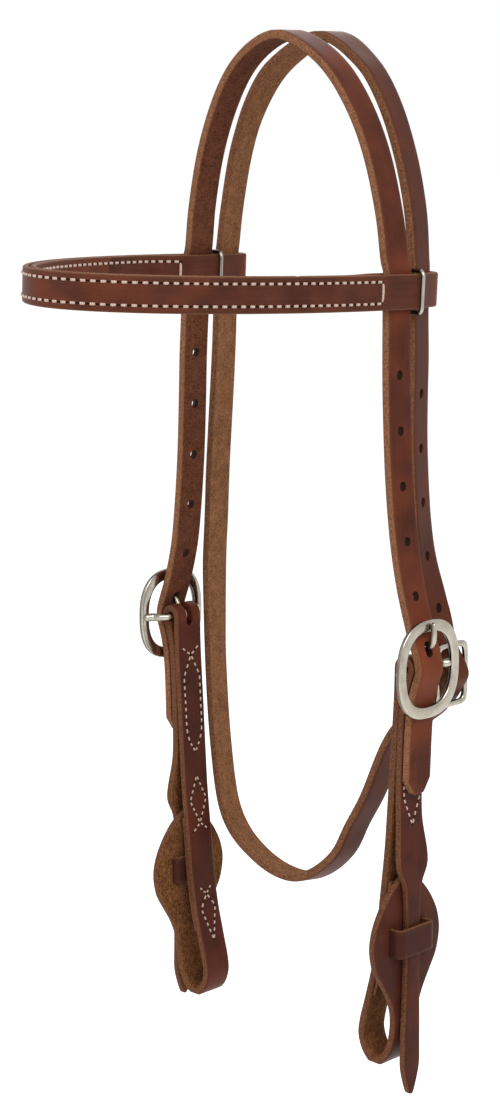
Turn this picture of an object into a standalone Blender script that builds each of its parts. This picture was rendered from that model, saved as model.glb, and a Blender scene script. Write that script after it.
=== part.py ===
"""Western headstall: crown, throatlatch, browband, buckled cheekpieces and bit loops.

Frame: +X is the horse's left (near) side, -Y is forward, +Z is up. The origin lies at the
poll, between the undersides of the front and the rear strap, and everything hangs below it.
Straps are cut flat, punched, and bent along a route with a Curve modifier.
"""
import math

import bmesh
import bpy
import numpy as np
from mathutils import Matrix

MM = 0.001

# Leather
STRAP_WIDTH = 15.9 * MM
CROWN_THICK = 4.4 * MM
CHEEK_THICK = 3.8 * MM
BAND_THICK = 2.8 * MM
KEEPER_THICK = 2.2 * MM
BACKING_THICK = 1.6 * MM
SKIVED_THICK = 2.0 * MM
EDGE_ROUND = 0.9 * MM
LAY_GAP = 0.3 * MM

# Crown arch and legs
NEAR_LEG_HALF = 64.0 * MM
FAR_LEG_HALF = 66.0 * MM
REAR_TUCK = 3.7 * MM
FAR_REAR_OUT = 2.2 * MM
ARCH_DROP = 112.0 * MM
POLL_FLAT_HALF = 5.0 * MM
STRAP_SPACING = 16.7 * MM
FRONT_LEAN = 1.25 * MM
FRONT_LEAN_DROP = 150.0 * MM
FRONT_SPREAD = 6.9 * MM
FRONT_SPREAD_SHARES = (
    (0.000, 1.000),
    (0.136, 0.725),
    (0.363, 0.394),
    (0.680, 0.148),
    (0.930, 0.015),
    (1.000, 0.000),
)
FRONT_TOE = math.radians(3.0)
FRONT_TOE_SHARES = (
    (0.000, 0.000),
    (0.136, 0.400),
    (0.363, 1.000),
    (0.680, 0.850),
    (1.000, 0.000),
)
REAR_LEAN = 8.15 * MM
REAR_LEAN_DROP = 262.0 * MM
REAR_LEAN_SHARES = (
    (0.000, 0.503, 0.503),
    (0.057, 0.274, 0.402),
    (0.153, 0.245, 0.475),
    (0.286, 0.345, 0.606),
    (0.420, 0.153, 0.590),
    (0.534, 0.150, 0.480),
    (0.611, 0.060, 0.360),
    (0.695, 0.080, 0.230),
    (0.794, 0.178, 0.115),
    (0.889, 0.362, 0.090),
    (0.985, 0.816, 0.080),
    (1.050, 1.000, 0.080),
    (1.700, 1.000, 0.080),
)
REAR_TOE = math.radians(16.5)
REAR_TOE_SHARES = (
    (0.000, 0.000),
    (0.057, 0.467),
    (0.153, 0.673),
    (0.286, 0.806),
    (0.400, 1.000),
    (0.820, 1.000),
    (0.890, 0.670),
    (0.985, 0.200),
    (1.020, 0.000),
)
FAR_TOE = math.radians(16.0)
FAR_TOE_SHARES = (
    (0.050, 0.000),
    (0.153, 0.725),
    (0.286, 0.806),
    (0.420, 0.720),
    (0.640, 0.600),
    (0.990, 0.600),
    (1.150, 1.000),
)
FAR_TOE_END = 20.0 * MM
FAR_TOE_FULL = -40.0 * MM
FRONT_ARCH_SHARES = (
    (0.143, 0.017),
    (0.332, 0.071),
    (0.499, 0.152),
    (0.675, 0.294),
    (0.820, 0.475),
    (0.933, 0.720),
    (0.979, 0.895),
    (1.000, 0.930),
    (1.000, 1.000),
)
REAR_ARCH_SHARES = (
    (0.124, 0.017),
    (0.329, 0.071),
    (0.515, 0.152),
    (0.696, 0.294),
    (0.836, 0.475),
    (0.944, 0.720),
    (0.990, 0.895),
    (1.000, 0.930),
    (1.000, 1.000),
)
NEAR_LEG_SHARES = (
    (0.015, 0.452),
    (0.043, 0.528),
    (0.114, 0.617),
    (0.236, 0.706),
    (0.464, 0.798),
    (0.770, 0.870),
)
FAR_LEG_SHARES = (
    (0.100, 0.452),
    (0.200, 0.528),
    (0.270, 0.617),
    (0.370, 0.706),
    (0.560, 0.798),
    (0.790, 0.870),
)
TIP_CLIP_SHARE = 0.45
TIP_WIDTH_SHARE = 0.42

# Punched holes
HOLE_PITCH = 25.4 * MM
HOLE_RADIUS = 2.4 * MM
HOLE_COUNT = 5
WORN_HOLE_LENGTH = 8.4 * MM

# Cheek buckle
BAR_X = 78.0 * MM
BAR_DROP = 282.0 * MM
BAR_RADIUS = 1.9 * MM
FRAME_HALF_HEIGHT = 23.0 * MM
FRAME_HALF_WIDTH = 21.0 * MM
FRAME_RIM = 5.4 * MM
FRAME_THICK = 2.8 * MM
FRAME_EDGE = 0.7 * MM
FRAME_SQUARENESS_SHARE = 2.5
PINCH_LEAN = 2.45 * MM
PINCH_DROP = 16.2 * MM
SEAM_LEAN = 4.45 * MM
SEAM_DROP = 48.0 * MM
BILLET_TAIL = 61.0 * MM
TOP_RIM_ROOM = 2.1 * MM
BAR_END_ROOM = 0.7 * MM
BAR_SHARES = (0.30, 0.75, 1.00)
FOOT_SHARES = ((0.10, 0.04, 1.00), (0.43, 0.33, 1.00), (0.62, 0.66, 1.10), (0.92, 0.87, 1.14))
TONGUE_RADIUS = 1.3 * MM
TONGUE_RING_RADIUS = 0.9 * MM
TONGUE_RING_ROOM = 0.25 * MM
TONGUE_RISE = 8.6 * MM
TONGUE_SHARES = ((0.42, 0.44), (0.70, 0.56), (0.93, 0.70), (1.00, 0.90), (1.00, 1.19))
TONGUE_ROOT_SHARES = (0.35, 0.93)
SLOT_WIDTH = 4.2 * MM
SLOT_BELOW_BAR = 5.0 * MM

# Cheekpiece: tab, flap, bit loop and keeper
TAB_WIDTH = 11.0 * MM
NEAR_TAB_TIP_DROP = 209.0 * MM
FAR_TAB_TIP_DROP = 202.0 * MM
TAB_POINT = 14.0 * MM
TAB_START_DROP = 112.0 * MM
SHOULDER_DROP = 95.0 * MM
SHOULDER_WIDTH = 19.5 * MM
SHOULDER_RUN = 22.0 * MM
TAB_TIP_WIDTH = 2.4 * MM
TAB_TAPER_SHARE = 0.55
FLAP_TIP_DROP = 100.0 * MM
BULB_HALF_WIDTH = 23.6 * MM
BULB_LENGTH = 75.0 * MM
LOOP_DEPTH = 20.3 * MM
LOOP_DROP = 194.7 * MM
BIT_SEAT_HALF = 2.6 * MM
SEAT_SHARE = 0.58
KEEPER_HEIGHT = 13.7 * MM
KEEPER_FROM_TIP = 31.3 * MM
KEEPER_HALF_WIDTH = 12.5 * MM
KEEPER_CORNER = 1.2 * MM
KEEPER_BACK_ROOM = 0.6 * MM
SLIT_ROOM = 0.4 * MM
BACKING_WIDTH = 14.3 * MM
BACKING_TOP_DROP = 104.0 * MM
BACKING_BOTTOM_DROP = 163.0 * MM
STRAND_SHARES = (
    (0.118, 0.2465),
    (0.182, 0.3595),
    (0.246, 0.4570),
    (0.390, 0.596),
    (0.473, 0.683),
    (0.616, 0.770),
    (0.833, 0.858),
    (0.963, 0.909),
    (1.000, 0.945),
    (0.880, 0.981),
)
LOOP_RISE_SHARES = (
    (0.280, 0.984),
    (0.110, 0.950),
    (0.026, 0.903),
    (0.000, 0.850),
)
BULB_SHARES = (
    (0.000, 0.050),
    (0.050, 0.300),
    (0.113, 0.530),
    (0.221, 0.785),
    (0.329, 0.945),
    (0.430, 1.000),
    (0.560, 0.930),
    (0.680, 0.720),
    (0.790, 0.510),
    (0.900, 0.375),
    (1.000, 0.337),
)

# Throat buckle
THROAT_BAR_X = 74.0 * MM
THROAT_BAR_DROP = 290.5 * MM
THROAT_BAR_RADIUS = 1.3 * MM
THROAT_FRAME_HALF_HEIGHT = 15.5 * MM
THROAT_FRAME_HALF_WIDTH = 11.4 * MM
THROAT_FRAME_RIM = 2.7 * MM
THROAT_FRAME_THICK = 2.5 * MM
THROAT_SQUARENESS_SHARE = 7.0
THROAT_STAND_OFF = 2.4 * MM
THROAT_FOOT_SHARES = ((0.75, 0.02, 1.00), (1.00, 0.25, 1.00), (1.05, 0.85, 1.00))
THROAT_TOP_ROOM = 1.2 * MM
THROAT_TONGUE_RADIUS = 1.0 * MM
THROAT_RING_RADIUS = 0.75 * MM
THROAT_FOLD_EASE = 0.5 * MM
THROAT_SLOT_WIDTH = 3.4 * MM
THROAT_SLOT_BELOW = 6.5 * MM
THROAT_HOLE_RISE = 7.2 * MM
THROAT_TONGUE_SHARES = ((0.50, 0.42), (0.86, 0.56), (1.04, 0.74), (1.02, 0.92), (1.00, 1.15))
THROAT_BACK_LENGTH = 36.0 * MM
THROAT_TAIL = 30.0 * MM
THROAT_PINCH_X = 4.6 * MM
THROAT_PINCH_DROP = 11.5 * MM
THROAT_SKIVE_START = 20.0 * MM
THROAT_SKIVE_RUN = 14.0 * MM
REAR_LEG_SHARES = (
    (0.000, 0.430),
    (0.066, 0.541),
    (0.073, 0.627),
    (0.146, 0.716),
    (0.270, 0.802),
    (0.584, 0.888),
)

# Throatlatch loop under the jaw
THROAT_HALF = 72.4 * MM
THROAT_DROP = 407.8 * MM
JAW_SWAY_START = -30.0 * MM
JAW_SWAY_END = 50.0 * MM
FAR_HANG_SHARES = (
    (0.949, 0.3065),
    (0.956, 0.4046),
    (0.975, 0.5027),
    (0.992, 0.5760),
)
THROAT_SHARES = (
    (-1.008, 0.625),
    (-1.008, 0.694),
    (-0.998, 0.761),
    (-0.950, 0.861),
    (-0.872, 0.935),
    (-0.792, 0.961),
    (-0.672, 0.980),
    (-0.423, 1.000),
    (-0.174, 1.004),
    (-0.008, 0.992),
    (0.182, 0.9605),
    (0.300, 0.9196),
    (0.410, 0.884),
    (0.645, 0.795),
)

# Browband
BAND_DROP = 110.2 * MM
BAND_DEPTH = 140.0 * MM
BAND_LEAD = 3.0 * MM
BAND_CLEAR = 0.8 * MM
BAND_TUCK = 1.0 * MM
BAND_CORNER_Y = -1.0 * MM
BAND_TILT = math.radians(-1.7)
BAND_ROLL = math.radians(1.25)
BAND_MERGE_RUN = 26.0 * MM
BAND_SEAM_RUN = 50.0 * MM
WIRE_RADIUS = 1.0 * MM
WIRE_CORNER = 2.4 * MM
WIRE_SIDE_ROOM = 0.4 * MM
WIRE_HEIGHT_ROOM = 1.2 * MM

# Modelling steps
ROUTE_STEP = 1.0 * MM
MIN_CUT_STEP = 1.5 * MM
MAX_CUT_STEP = 9.0 * MM
TURN_PER_CUT_SHARE = 0.34
OVERRUN = 3.0 * MM
RING_POINTS = 40
CORNER_POINTS = 5
FOOT_POINTS = 11
ROUND_SIDES = 14
FOLD_CUTS = 13

BAR = np.array([BAR_X, -BAR_DROP])
FOLD_MID = BAR_RADIUS + LAY_GAP + CHEEK_THICK / 2
LAYER_OFFSET = (CHEEK_THICK + LAY_GAP) / 2
BILLET_OFFSET = CHEEK_THICK / 2 + LAY_GAP + CROWN_THICK / 2
FRAME_BACK = BAR_X - PINCH_LEAN + LAYER_OFFSET + BILLET_OFFSET + CROWN_THICK / 2 + LAY_GAP
FRAME_OPENING = FRAME_HALF_HEIGHT - FRAME_RIM
TAB_X = BAR_X
FLAP_X = TAB_X - CHEEK_THICK - LAY_GAP
CHEEK_Y = -STRAP_SPACING / 2 - FRONT_LEAN
THROAT_BAR = np.array([THROAT_BAR_X, -THROAT_BAR_DROP])
THROAT_FOLD_MID = THROAT_BAR_RADIUS + THROAT_FOLD_EASE + SKIVED_THICK / 2
THROAT_BACK = THROAT_BAR_X + THROAT_STAND_OFF
THROAT_Y = STRAP_SPACING / 2 + REAR_LEAN


def reset():
    """Remove what is in the scene and make the two collections."""
    for old in list(bpy.data.objects):
        bpy.data.objects.remove(old)
    scene = bpy.context.scene
    collections = {}
    for name in ("western_headstall", "cutters_and_guides"):
        collections[name] = bpy.data.collections.new(name)
        scene.collection.children.link(collections[name])
    return collections["western_headstall"], collections["cutters_and_guides"]


PARTS, TOOLS = reset()


def add_part(name, data, finish):
    """Link a mesh as a named sub-part with its own material."""
    part = bpy.data.objects.new(name, data)
    PARTS.objects.link(part)
    colour, roughness, metallic = finish
    material = bpy.data.materials.new(name)
    material.use_nodes = True
    shader = material.node_tree.nodes["Principled BSDF"]
    shader.inputs["Base Color"].default_value = (*colour, 1.0)
    shader.inputs["Roughness"].default_value = roughness
    shader.inputs["Metallic"].default_value = metallic
    data.materials.clear()
    data.materials.append(material)
    return part


def add_tool(name, data):
    """Link a cutter or a guide, which shows as wire only."""
    tool = bpy.data.objects.new(name, data)
    TOOLS.objects.link(tool)
    tool.hide_render = True
    tool.display_type = "WIRE"
    return tool


GRAIN = ((0.125, 0.045, 0.028), 0.45, 0.0)
LINING = ((0.110, 0.040, 0.026), 0.55, 0.0)
FLESH = ((0.170, 0.080, 0.030), 0.85, 0.0)
STEEL = ((0.620, 0.600, 0.560), 0.28, 1.0)


# Routes
def smooth(points):
    """Catmull-Rom curve through the points, sampled about every ROUTE_STEP."""
    points = np.asarray(points, float)
    ends = (2 * points[0] - points[1], 2 * points[-1] - points[-2])
    ctrl = np.vstack([ends[0], points, ends[1]])
    out = [points[0]]
    for i in range(1, len(ctrl) - 2):
        p0, p1, p2, p3 = ctrl[i - 1 : i + 3]
        d = [math.sqrt(np.linalg.norm(b - a)) for a, b in ((p0, p1), (p1, p2), (p2, p3))]
        m1 = d[1] * ((p1 - p0) / d[0] - (p2 - p0) / (d[0] + d[1])) + (p2 - p1)
        m2 = d[1] * ((p3 - p2) / d[2] - (p3 - p1) / (d[1] + d[2])) + (p2 - p1)
        steps = max(2, math.ceil(np.linalg.norm(p2 - p1) / ROUTE_STEP))
        for k in range(1, steps + 1):
            t = k / steps
            a = 2 * t**3 - 3 * t**2 + 1
            b = t**3 - 2 * t**2 + t
            c = -2 * t**3 + 3 * t**2
            out.append(a * p1 + b * m1 + c * p2 + (t**3 - t**2) * m2)
    return np.array(out)


def lengths(points):
    """Distance of each point along its polyline."""
    steps = np.linalg.norm(np.diff(points, axis=0), axis=1)
    return np.concatenate([[0.0], np.cumsum(steps)])


def offset(points, distance):
    """Points moved to the left of a plane polyline, or by one distance for each point."""
    tangent = np.gradient(points, axis=0)
    tangent /= np.linalg.norm(tangent, axis=1)[:, None]
    normal = np.column_stack([-tangent[:, 1], tangent[:, 0]])
    return points + normal * np.reshape(distance, (-1, 1))


def clip(points, start, end):
    """The stretch of a polyline between two distances along it."""
    s = lengths(points)
    inside = points[(s > start) & (s < end)]
    first, last = (np.array([np.interp(d, s, column) for column in points.T]) for d in (start, end))
    return np.vstack([first, inside, last])


def arc(centre, radius, start, end, count):
    """Points on an arc, angles in degrees from +X towards +Z."""
    angles = np.radians(np.linspace(start, end, count))
    return [centre + radius * np.array([math.cos(a), math.sin(a)]) for a in angles]


def nearest_length(points, target):
    """Distance along a polyline of its point nearest the target."""
    return lengths(points)[np.argmin(np.linalg.norm(points - target, axis=1))]


def front_y(points):
    """Place across the head of the front strap's centre line at points (x, z)."""
    drop = -points[:, 1]
    lean = FRONT_LEAN * np.clip(drop / FRONT_LEAN_DROP, 0, 1)
    table = smooth(FRONT_SPREAD_SHARES)
    spread = FRONT_SPREAD * np.interp(drop / BAND_DROP, table[:, 0], table[:, 1])
    return -STRAP_SPACING / 2 - lean - spread


def rear_y(points):
    """Place across the head of the rear strap's centre line at points (x, z)."""
    table = smooth(REAR_LEAN_SHARES)
    drop = -points[:, 1] / REAR_LEAN_DROP
    near = np.interp(drop, table[:, 0], table[:, 1])
    far = np.interp(drop, table[:, 0], table[:, 2])
    t = np.clip((points[:, 0] - JAW_SWAY_START) / (JAW_SWAY_END - JAW_SWAY_START), 0, 1)
    sway = t * t * (3 - 2 * t)
    return STRAP_SPACING / 2 + REAR_LEAN * (far + (near - far) * sway)


def cheek_y(points):
    """Place across the head of everything on the cheek."""
    return np.full(len(points), CHEEK_Y)


def leg_half(side):
    """Half the front strap's spread on the near or the far side."""
    return NEAR_LEG_HALF if side > 0 else FAR_LEG_HALF


def front_toe(points):
    """How far the front strap's arch is turned about its length, at points (x, z)."""
    turned = FRONT_TOE * np.interp(-points[:, 1] / BAND_DROP, *zip(*FRONT_TOE_SHARES))
    return turned * np.sign(points[:, 0])


def rear_toe(drop):
    """How far the rear strap's near leg is turned about its length, its rear edge inward."""
    return REAR_TOE * np.interp(drop / REAR_LEAN_DROP, *zip(*REAR_TOE_SHARES))


def far_toe(points):
    """How far the rear strap is turned on the far side and under the jaw, at points (x, z)."""
    grown = np.interp(-points[:, 1] / REAR_LEAN_DROP, *zip(*FAR_TOE_SHARES))
    left = np.clip((FAR_TOE_END - points[:, 0]) / (FAR_TOE_END - FAR_TOE_FULL), 0, 1)
    return FAR_TOE * grown * left


def edge_y(across, side):
    """Place of a strap's centre line where the browband crosses it."""
    return float(across(np.array([[side * leg_half(side), -BAND_DROP]]))[0])


def mirrored(points):
    """The same points on the far side."""
    return np.asarray(points, float) * np.array([-1.0] + [1.0] * (np.shape(points)[1] - 1))


# Cutting and bending
def cut_places(route, start, end, extra=()):
    """Lengths at which a flat strap gets a cross cut: close together where the route bends."""
    s = lengths(route)
    tangent = np.gradient(route, s, axis=0)
    bend = np.linalg.norm(np.gradient(tangent, s, axis=0), axis=1)
    fixed = sorted({start, end, *[e for e in extra if start < e < end]})
    places = [start]
    for a, b in zip(fixed, fixed[1:]):
        here = a
        while True:
            ahead = (s >= here - MIN_CUT_STEP) & (s <= here + MAX_CUT_STEP)
            sharp = bend[ahead].max() if ahead.any() else 0.0
            step = TURN_PER_CUT_SHARE / sharp if sharp > 0 else MAX_CUT_STEP
            here += min(max(step, MIN_CUT_STEP), MAX_CUT_STEP)
            if here > b - MIN_CUT_STEP / 2:
                break
            places.append(here)
        places.append(b)
    return places


def strap_blank(name, places, width, thick):
    """A flat bar with loop cuts, its length along X, its thickness along Y, its width along Z."""
    bm = bmesh.new()
    bmesh.ops.create_cube(bm, size=1.0)
    middle, span = (places[0] + places[-1]) / 2, places[-1] - places[0]
    bmesh.ops.scale(bm, vec=(span, 1.0, 1.0), verts=bm.verts)
    bmesh.ops.translate(bm, vec=(middle, 0, 0), verts=bm.verts)
    for place in places[1:-1]:
        geometry = bm.verts[:] + bm.edges[:] + bm.faces[:]
        bmesh.ops.bisect_plane(bm, geom=geometry, plane_co=(place, 0, 0), plane_no=(1, 0, 0))
    for vert in bm.verts:
        vert.co.y *= thick(vert.co.x)
        vert.co.z *= width(vert.co.x)
    mesh = bpy.data.meshes.new(name)
    bm.to_mesh(mesh)
    bm.free()
    return mesh


def stadium(bm, place, length, radius, depth):
    """Add a round-ended cutter through the strap's thickness; its length lies along X."""
    turn = Matrix.Rotation(math.pi / 2, 4, "X")
    made = bmesh.ops.create_cone(
        bm,
        cap_ends=True,
        segments=ROUND_SIDES,
        radius1=radius,
        radius2=radius,
        depth=depth,
        matrix=Matrix.Translation(place) @ turn,
    )
    for vert in made["verts"]:
        side = vert.co.x - place[0]
        if abs(side) > radius / ROUND_SIDES:
            vert.co.x += math.copysign(length / 2 - radius, side)


def slit(bm, place, size):
    """Add a box-shaped cutter of a given size."""
    made = bmesh.ops.create_cube(bm, size=1.0)
    bmesh.ops.scale(bm, vec=size, verts=made["verts"])
    bmesh.ops.translate(bm, vec=place, verts=made["verts"])


def bend(name, route, finish, width, thick, cutter=None, places=None, tilts=None):
    """A flat strap with round edges and punched cuts, bent along its upright or level route."""
    upright = np.ptp(route[:, 2]) > 0
    total = lengths(route)[-1]
    places = places or cut_places(route, 0.0, total)
    strap = add_part(name, strap_blank(name, places, width, thick), finish)
    turn = Matrix.Rotation(math.pi / 2 if upright else 0.0, 4, "X")
    guide_data = bpy.data.curves.new(name + "_route", "CURVE")
    guide_data.dimensions = "3D"
    guide_data.twist_mode = "Z_UP"
    spline = guide_data.splines.new("POLY")
    spline.points.add(len(route) - 1)
    back = turn.inverted()
    for k, place in enumerate(route):
        spline.points[k].co = (*(back @ Matrix.Translation(place)).translation, 1.0)
        spline.points[k].tilt = 0.0 if tilts is None else tilts[k]
    guide = add_tool(name + "_route", guide_data)
    guide.matrix_world = turn
    strap.matrix_world = turn
    edge = strap.modifiers.new("edge", "BEVEL")
    edge.width = min(EDGE_ROUND, thick(total / 2) / 3)
    edge.segments = 1
    edge.limit_method = "ANGLE"
    edge.angle_limit = math.radians(50)
    if cutter is not None:
        punch_data = bpy.data.meshes.new(name + "_punch")
        cutter.to_mesh(punch_data)
        cutter.free()
        punch = add_tool(name + "_punch", punch_data)
        punch.matrix_world = turn
        holes = strap.modifiers.new("holes", "BOOLEAN")
        holes.operation = "DIFFERENCE"
        holes.solver = "EXACT"
        holes.object = punch
    along = strap.modifiers.new("route", "CURVE")
    along.object = guide
    along.deform_axis = "POS_X"
    return strap


def world_route(plane_points, across):
    """Give plane points (x, z) their place across the head."""
    points = np.asarray(plane_points, float)
    return np.column_stack([points[:, 0], across(points), points[:, 1]])


# Cheekpiece routes, near side, as (x, z)
def strand_point(share):
    """A point of the inner strand or the bit loop from its shares of depth and drop."""
    return (FLAP_X - share[0] * LOOP_DEPTH, -BAR_DROP - share[1] * LOOP_DROP)


def tab_tip_drop(side):
    """How far the tab's tip hangs below the bar, on the near or the far side."""
    return NEAR_TAB_TIP_DROP if side > 0 else FAR_TAB_TIP_DROP


def tab_route(side):
    """From the tab's tip up its outer layer to the buckle bar."""
    tip = tab_tip_drop(side)
    return smooth(
        [
            (TAB_X, -BAR_DROP - tip),
            (TAB_X, -BAR_DROP - (tip + TAB_START_DROP) / 2),
            (TAB_X, -BAR_DROP - TAB_START_DROP),
            (TAB_X, -BAR_DROP - SHOULDER_DROP),
            (BAR_X - SEAM_LEAN + LAYER_OFFSET, -BAR_DROP - (SHOULDER_DROP + SEAM_DROP) / 2),
            (BAR_X - SEAM_LEAN + LAYER_OFFSET, -BAR_DROP - SEAM_DROP),
            (BAR_X - PINCH_LEAN + LAYER_OFFSET, -BAR_DROP - PINCH_DROP),
            (BAR_X + FOLD_MID, -BAR_DROP),
        ]
    )


def cheek_runs(side):
    """The cheekpiece's four runs: outer layer, fold, inner layer to the bit seat, and flap."""
    outer = tab_route(side)
    fold = np.array(arc(BAR, FOLD_MID, 0, 180, FOLD_CUTS))
    bottom = -BAR_DROP - LOOP_DROP
    seat_x = FLAP_X - SEAT_SHARE * LOOP_DEPTH
    inner = [fold[-1], (BAR_X - PINCH_LEAN - LAYER_OFFSET, -BAR_DROP - PINCH_DROP)]
    inner += [strand_point(share) for share in STRAND_SHARES]
    inner += [(seat_x - BIT_SEAT_HALF, bottom)]
    flap = [(seat_x + BIT_SEAT_HALF, bottom)]
    flap += [strand_point(share) for share in LOOP_RISE_SHARES]
    flap += [(FLAP_X, -BAR_DROP - FLAP_TIP_DROP - BULB_LENGTH / 2), (FLAP_X, -BAR_DROP - FLAP_TIP_DROP)]
    return outer, fold[1:], smooth(inner)[1:], smooth(flap)


def billet_route(side):
    """The crown strap's end on the outer layer, from its tip up to the buckle bar."""
    outer = tab_route(side)
    total = lengths(outer)[-1]
    lower = clip(outer, total - BILLET_TAIL, total)
    return offset(lower, -BILLET_OFFSET)[::4]


def crown_half(side):
    """The crown strap from its tip on one side to the flat at the poll, as (x, z)."""
    half = leg_half(side)
    shares = NEAR_LEG_SHARES if side > 0 else FAR_LEG_SHARES
    top_rim = -BAR_DROP + FRAME_OPENING
    rim_x = FRAME_BACK - TOP_RIM_ROOM - CROWN_THICK / 2
    points = list(billet_route(side)[:-1])
    points += [(BAR_X + FOLD_MID + BILLET_OFFSET, -BAR_DROP)]
    points += [(rim_x, top_rim + FRAME_RIM / 4)]
    points += [(half + a * (BAR_X - half), -b * BAR_DROP) for a, b in reversed(shares)]
    arch = reversed(FRONT_ARCH_SHARES)
    points += [(a * half, CROWN_THICK / 2 - b * ARCH_DROP) for a, b in arch]
    points += [(POLL_FLAT_HALF, CROWN_THICK / 2)]
    return smooth(points)


def clipped_share(end):
    """Share of the full width at a distance from a billet's clipped tip."""
    grown = end / (TIP_CLIP_SHARE * STRAP_WIDTH)
    return min(1.0, TIP_WIDTH_SHARE + (1 - TIP_WIDTH_SHARE) * grown)


def crown_strap():
    """The front strap: crown and both cheek billets, with a row of holes each side."""
    near = crown_half(1)
    flat = np.vstack([near, mirrored(crown_half(-1))[::-1]])
    route = world_route(flat, front_y)
    total = lengths(route)[-1]
    cut = bmesh.new()
    depth = CROWN_THICK + OVERRUN
    at_bar = nearest_length(flat[: len(near)], np.array([BAR_X + FOLD_MID + BILLET_OFFSET, -BAR_DROP]))
    worn = at_bar + TONGUE_RISE
    for from_end in (False, True):
        for k in range(HOLE_COUNT + 1):
            place = worn + k * HOLE_PITCH
            place = total - place if from_end else place
            long = WORN_HOLE_LENGTH if k == 0 else 2 * HOLE_RADIUS
            stadium(cut, (place, 0, 0), long, HOLE_RADIUS, depth)
    poll = lengths(route)[len(near) - 1 : len(near) + 1]
    clipped = TIP_CLIP_SHARE * STRAP_WIDTH
    places = cut_places(route, 0.0, total, (clipped, *poll, total - clipped))

    def width(s):
        """Full width, with clipped corners at both ends."""
        return STRAP_WIDTH * clipped_share(min(s, total - s))

    tilts = front_toe(flat)
    return bend("crown_strap", route, GRAIN, width, lambda s: CROWN_THICK, cut, places, tilts)


def shares_curve(shares, length, size):
    """A size that follows a table of shares over a length."""
    places, values = zip(*shares)
    return lambda s: size * float(np.interp(s / length, places, values))


def cheekpiece(name, side):
    """One folded strap: tab, outer layer, fold at the bar, bit loop and bulb-shaped flap."""
    runs = cheek_runs(side)
    flat = np.vstack(runs)
    route = world_route(flat if side > 0 else mirrored(flat), cheek_y)
    total = lengths(route)[-1]
    bulb = shares_curve(BULB_SHARES, BULB_LENGTH, 2 * BULB_HALF_WIDTH)
    shoulder = tab_tip_drop(side) - SHOULDER_DROP
    neck = shoulder - SHOULDER_RUN / 2
    tab = (
        (0.0, TAB_TIP_WIDTH),
        (TAB_POINT / 3, TAB_TAPER_SHARE * TAB_WIDTH),
        (TAB_POINT, TAB_WIDTH),
        (neck, TAB_WIDTH),
        (shoulder, SHOULDER_WIDTH),
        (shoulder + SHOULDER_RUN, STRAP_WIDTH),
    )

    def width(s):
        """Pointed tab, shoulders, plain strap, then the flap's bulb and tip."""
        if total - s < BULB_LENGTH:
            return bulb(total - s)
        return float(np.interp(s, *zip(*tab)))

    top = nearest_length(flat, BAR + np.array([0.0, FOLD_MID]))
    quarter = FOLD_MID * math.pi / 2
    cut = bmesh.new()
    depth = CHEEK_THICK + OVERRUN
    stadium(cut, (top, 0, 0), 2 * (quarter + SLOT_BELOW_BAR), SLOT_WIDTH / 2, depth)
    slit_at = total - KEEPER_FROM_TIP
    slit_y = KEEPER_HALF_WIDTH - KEEPER_THICK / 2
    size = (KEEPER_HEIGHT + 2 * SLIT_ROOM, depth, KEEPER_THICK + 2 * SLIT_ROOM)
    for hand in (-1, 1):
        slit(cut, (slit_at, 0, hand * slit_y), size)
    seat = lengths(flat)[sum(len(run) for run in runs[:3]) - 1]
    marks = [seat, seat + 2 * BIT_SEAT_HALF]
    marks += [s for s, w in tab[1:]]
    marks += [total - share * BULB_LENGTH for share, w in BULB_SHARES[1:]]
    places = cut_places(route, 0.0, total, marks)
    places = [s for s in places if not marks[0] < s < marks[1]]
    return bend(name, route, GRAIN, width, lambda s: CHEEK_THICK, cut, places)


def backing(name, side):
    """The thin ply sewn on the flesh side of the inner strand, between two sewn diamonds."""
    strand = cheek_runs(side)[2]
    top = np.argmin(abs(strand[:, 1] + BAR_DROP + BACKING_TOP_DROP))
    end = np.argmin(abs(strand[:, 1] + BAR_DROP + BACKING_BOTTOM_DROP))
    ply = offset(strand, CHEEK_THICK / 2 + LAY_GAP + BACKING_THICK / 2)[top:end]
    route = world_route(ply if side > 0 else mirrored(ply), cheek_y)
    return bend(name, route, FLESH, lambda s: BACKING_WIDTH, lambda s: BACKING_THICK)


# Flat frames and bent wire
def oval(half_x, half_y, squareness, count):
    """Points of a rounded oval, more square with a higher squareness."""
    power = 2.0 / squareness
    out = []
    for k in range(count):
        c = math.cos(2 * math.pi * (k + 0.5) / count)
        s = math.sin(2 * math.pi * (k + 0.5) / count)
        x = half_x * math.copysign(abs(c) ** power, c)
        out.append((x, half_y * math.copysign(abs(s) ** power, s)))
    return out


def flat_ring(name, outer, inner, thick):
    """A flat ring between two outlines, as a mesh lying in its own XY plane."""
    data = bpy.data.curves.new(name, "CURVE")
    data.dimensions = "2D"
    data.fill_mode = "BOTH"
    data.extrude = thick / 2
    for outline in (outer, inner):
        spline = data.splines.new("POLY")
        spline.points.add(len(outline) - 1)
        spline.use_cyclic_u = True
        for point, (x, y) in zip(spline.points, outline):
            point.co = (x, y, 0, 1)
    return curve_mesh(name, data)


def curve_mesh(name, data):
    """Turn a curve into a closed mesh and remove the curve."""
    curve = bpy.data.objects.new(name, data)
    bpy.context.scene.collection.objects.link(curve)
    bpy.context.view_layer.update()
    evaluated = curve.evaluated_get(bpy.context.evaluated_depsgraph_get())
    mesh = bpy.data.meshes.new_from_object(evaluated)
    bpy.data.objects.remove(curve)
    bm = bmesh.new()
    bm.from_mesh(mesh)
    bmesh.ops.remove_doubles(bm, verts=bm.verts, dist=LAY_GAP / 100)
    bmesh.ops.recalc_face_normals(bm, faces=bm.faces)
    bm.to_mesh(mesh)
    bm.free()
    return mesh


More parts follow.
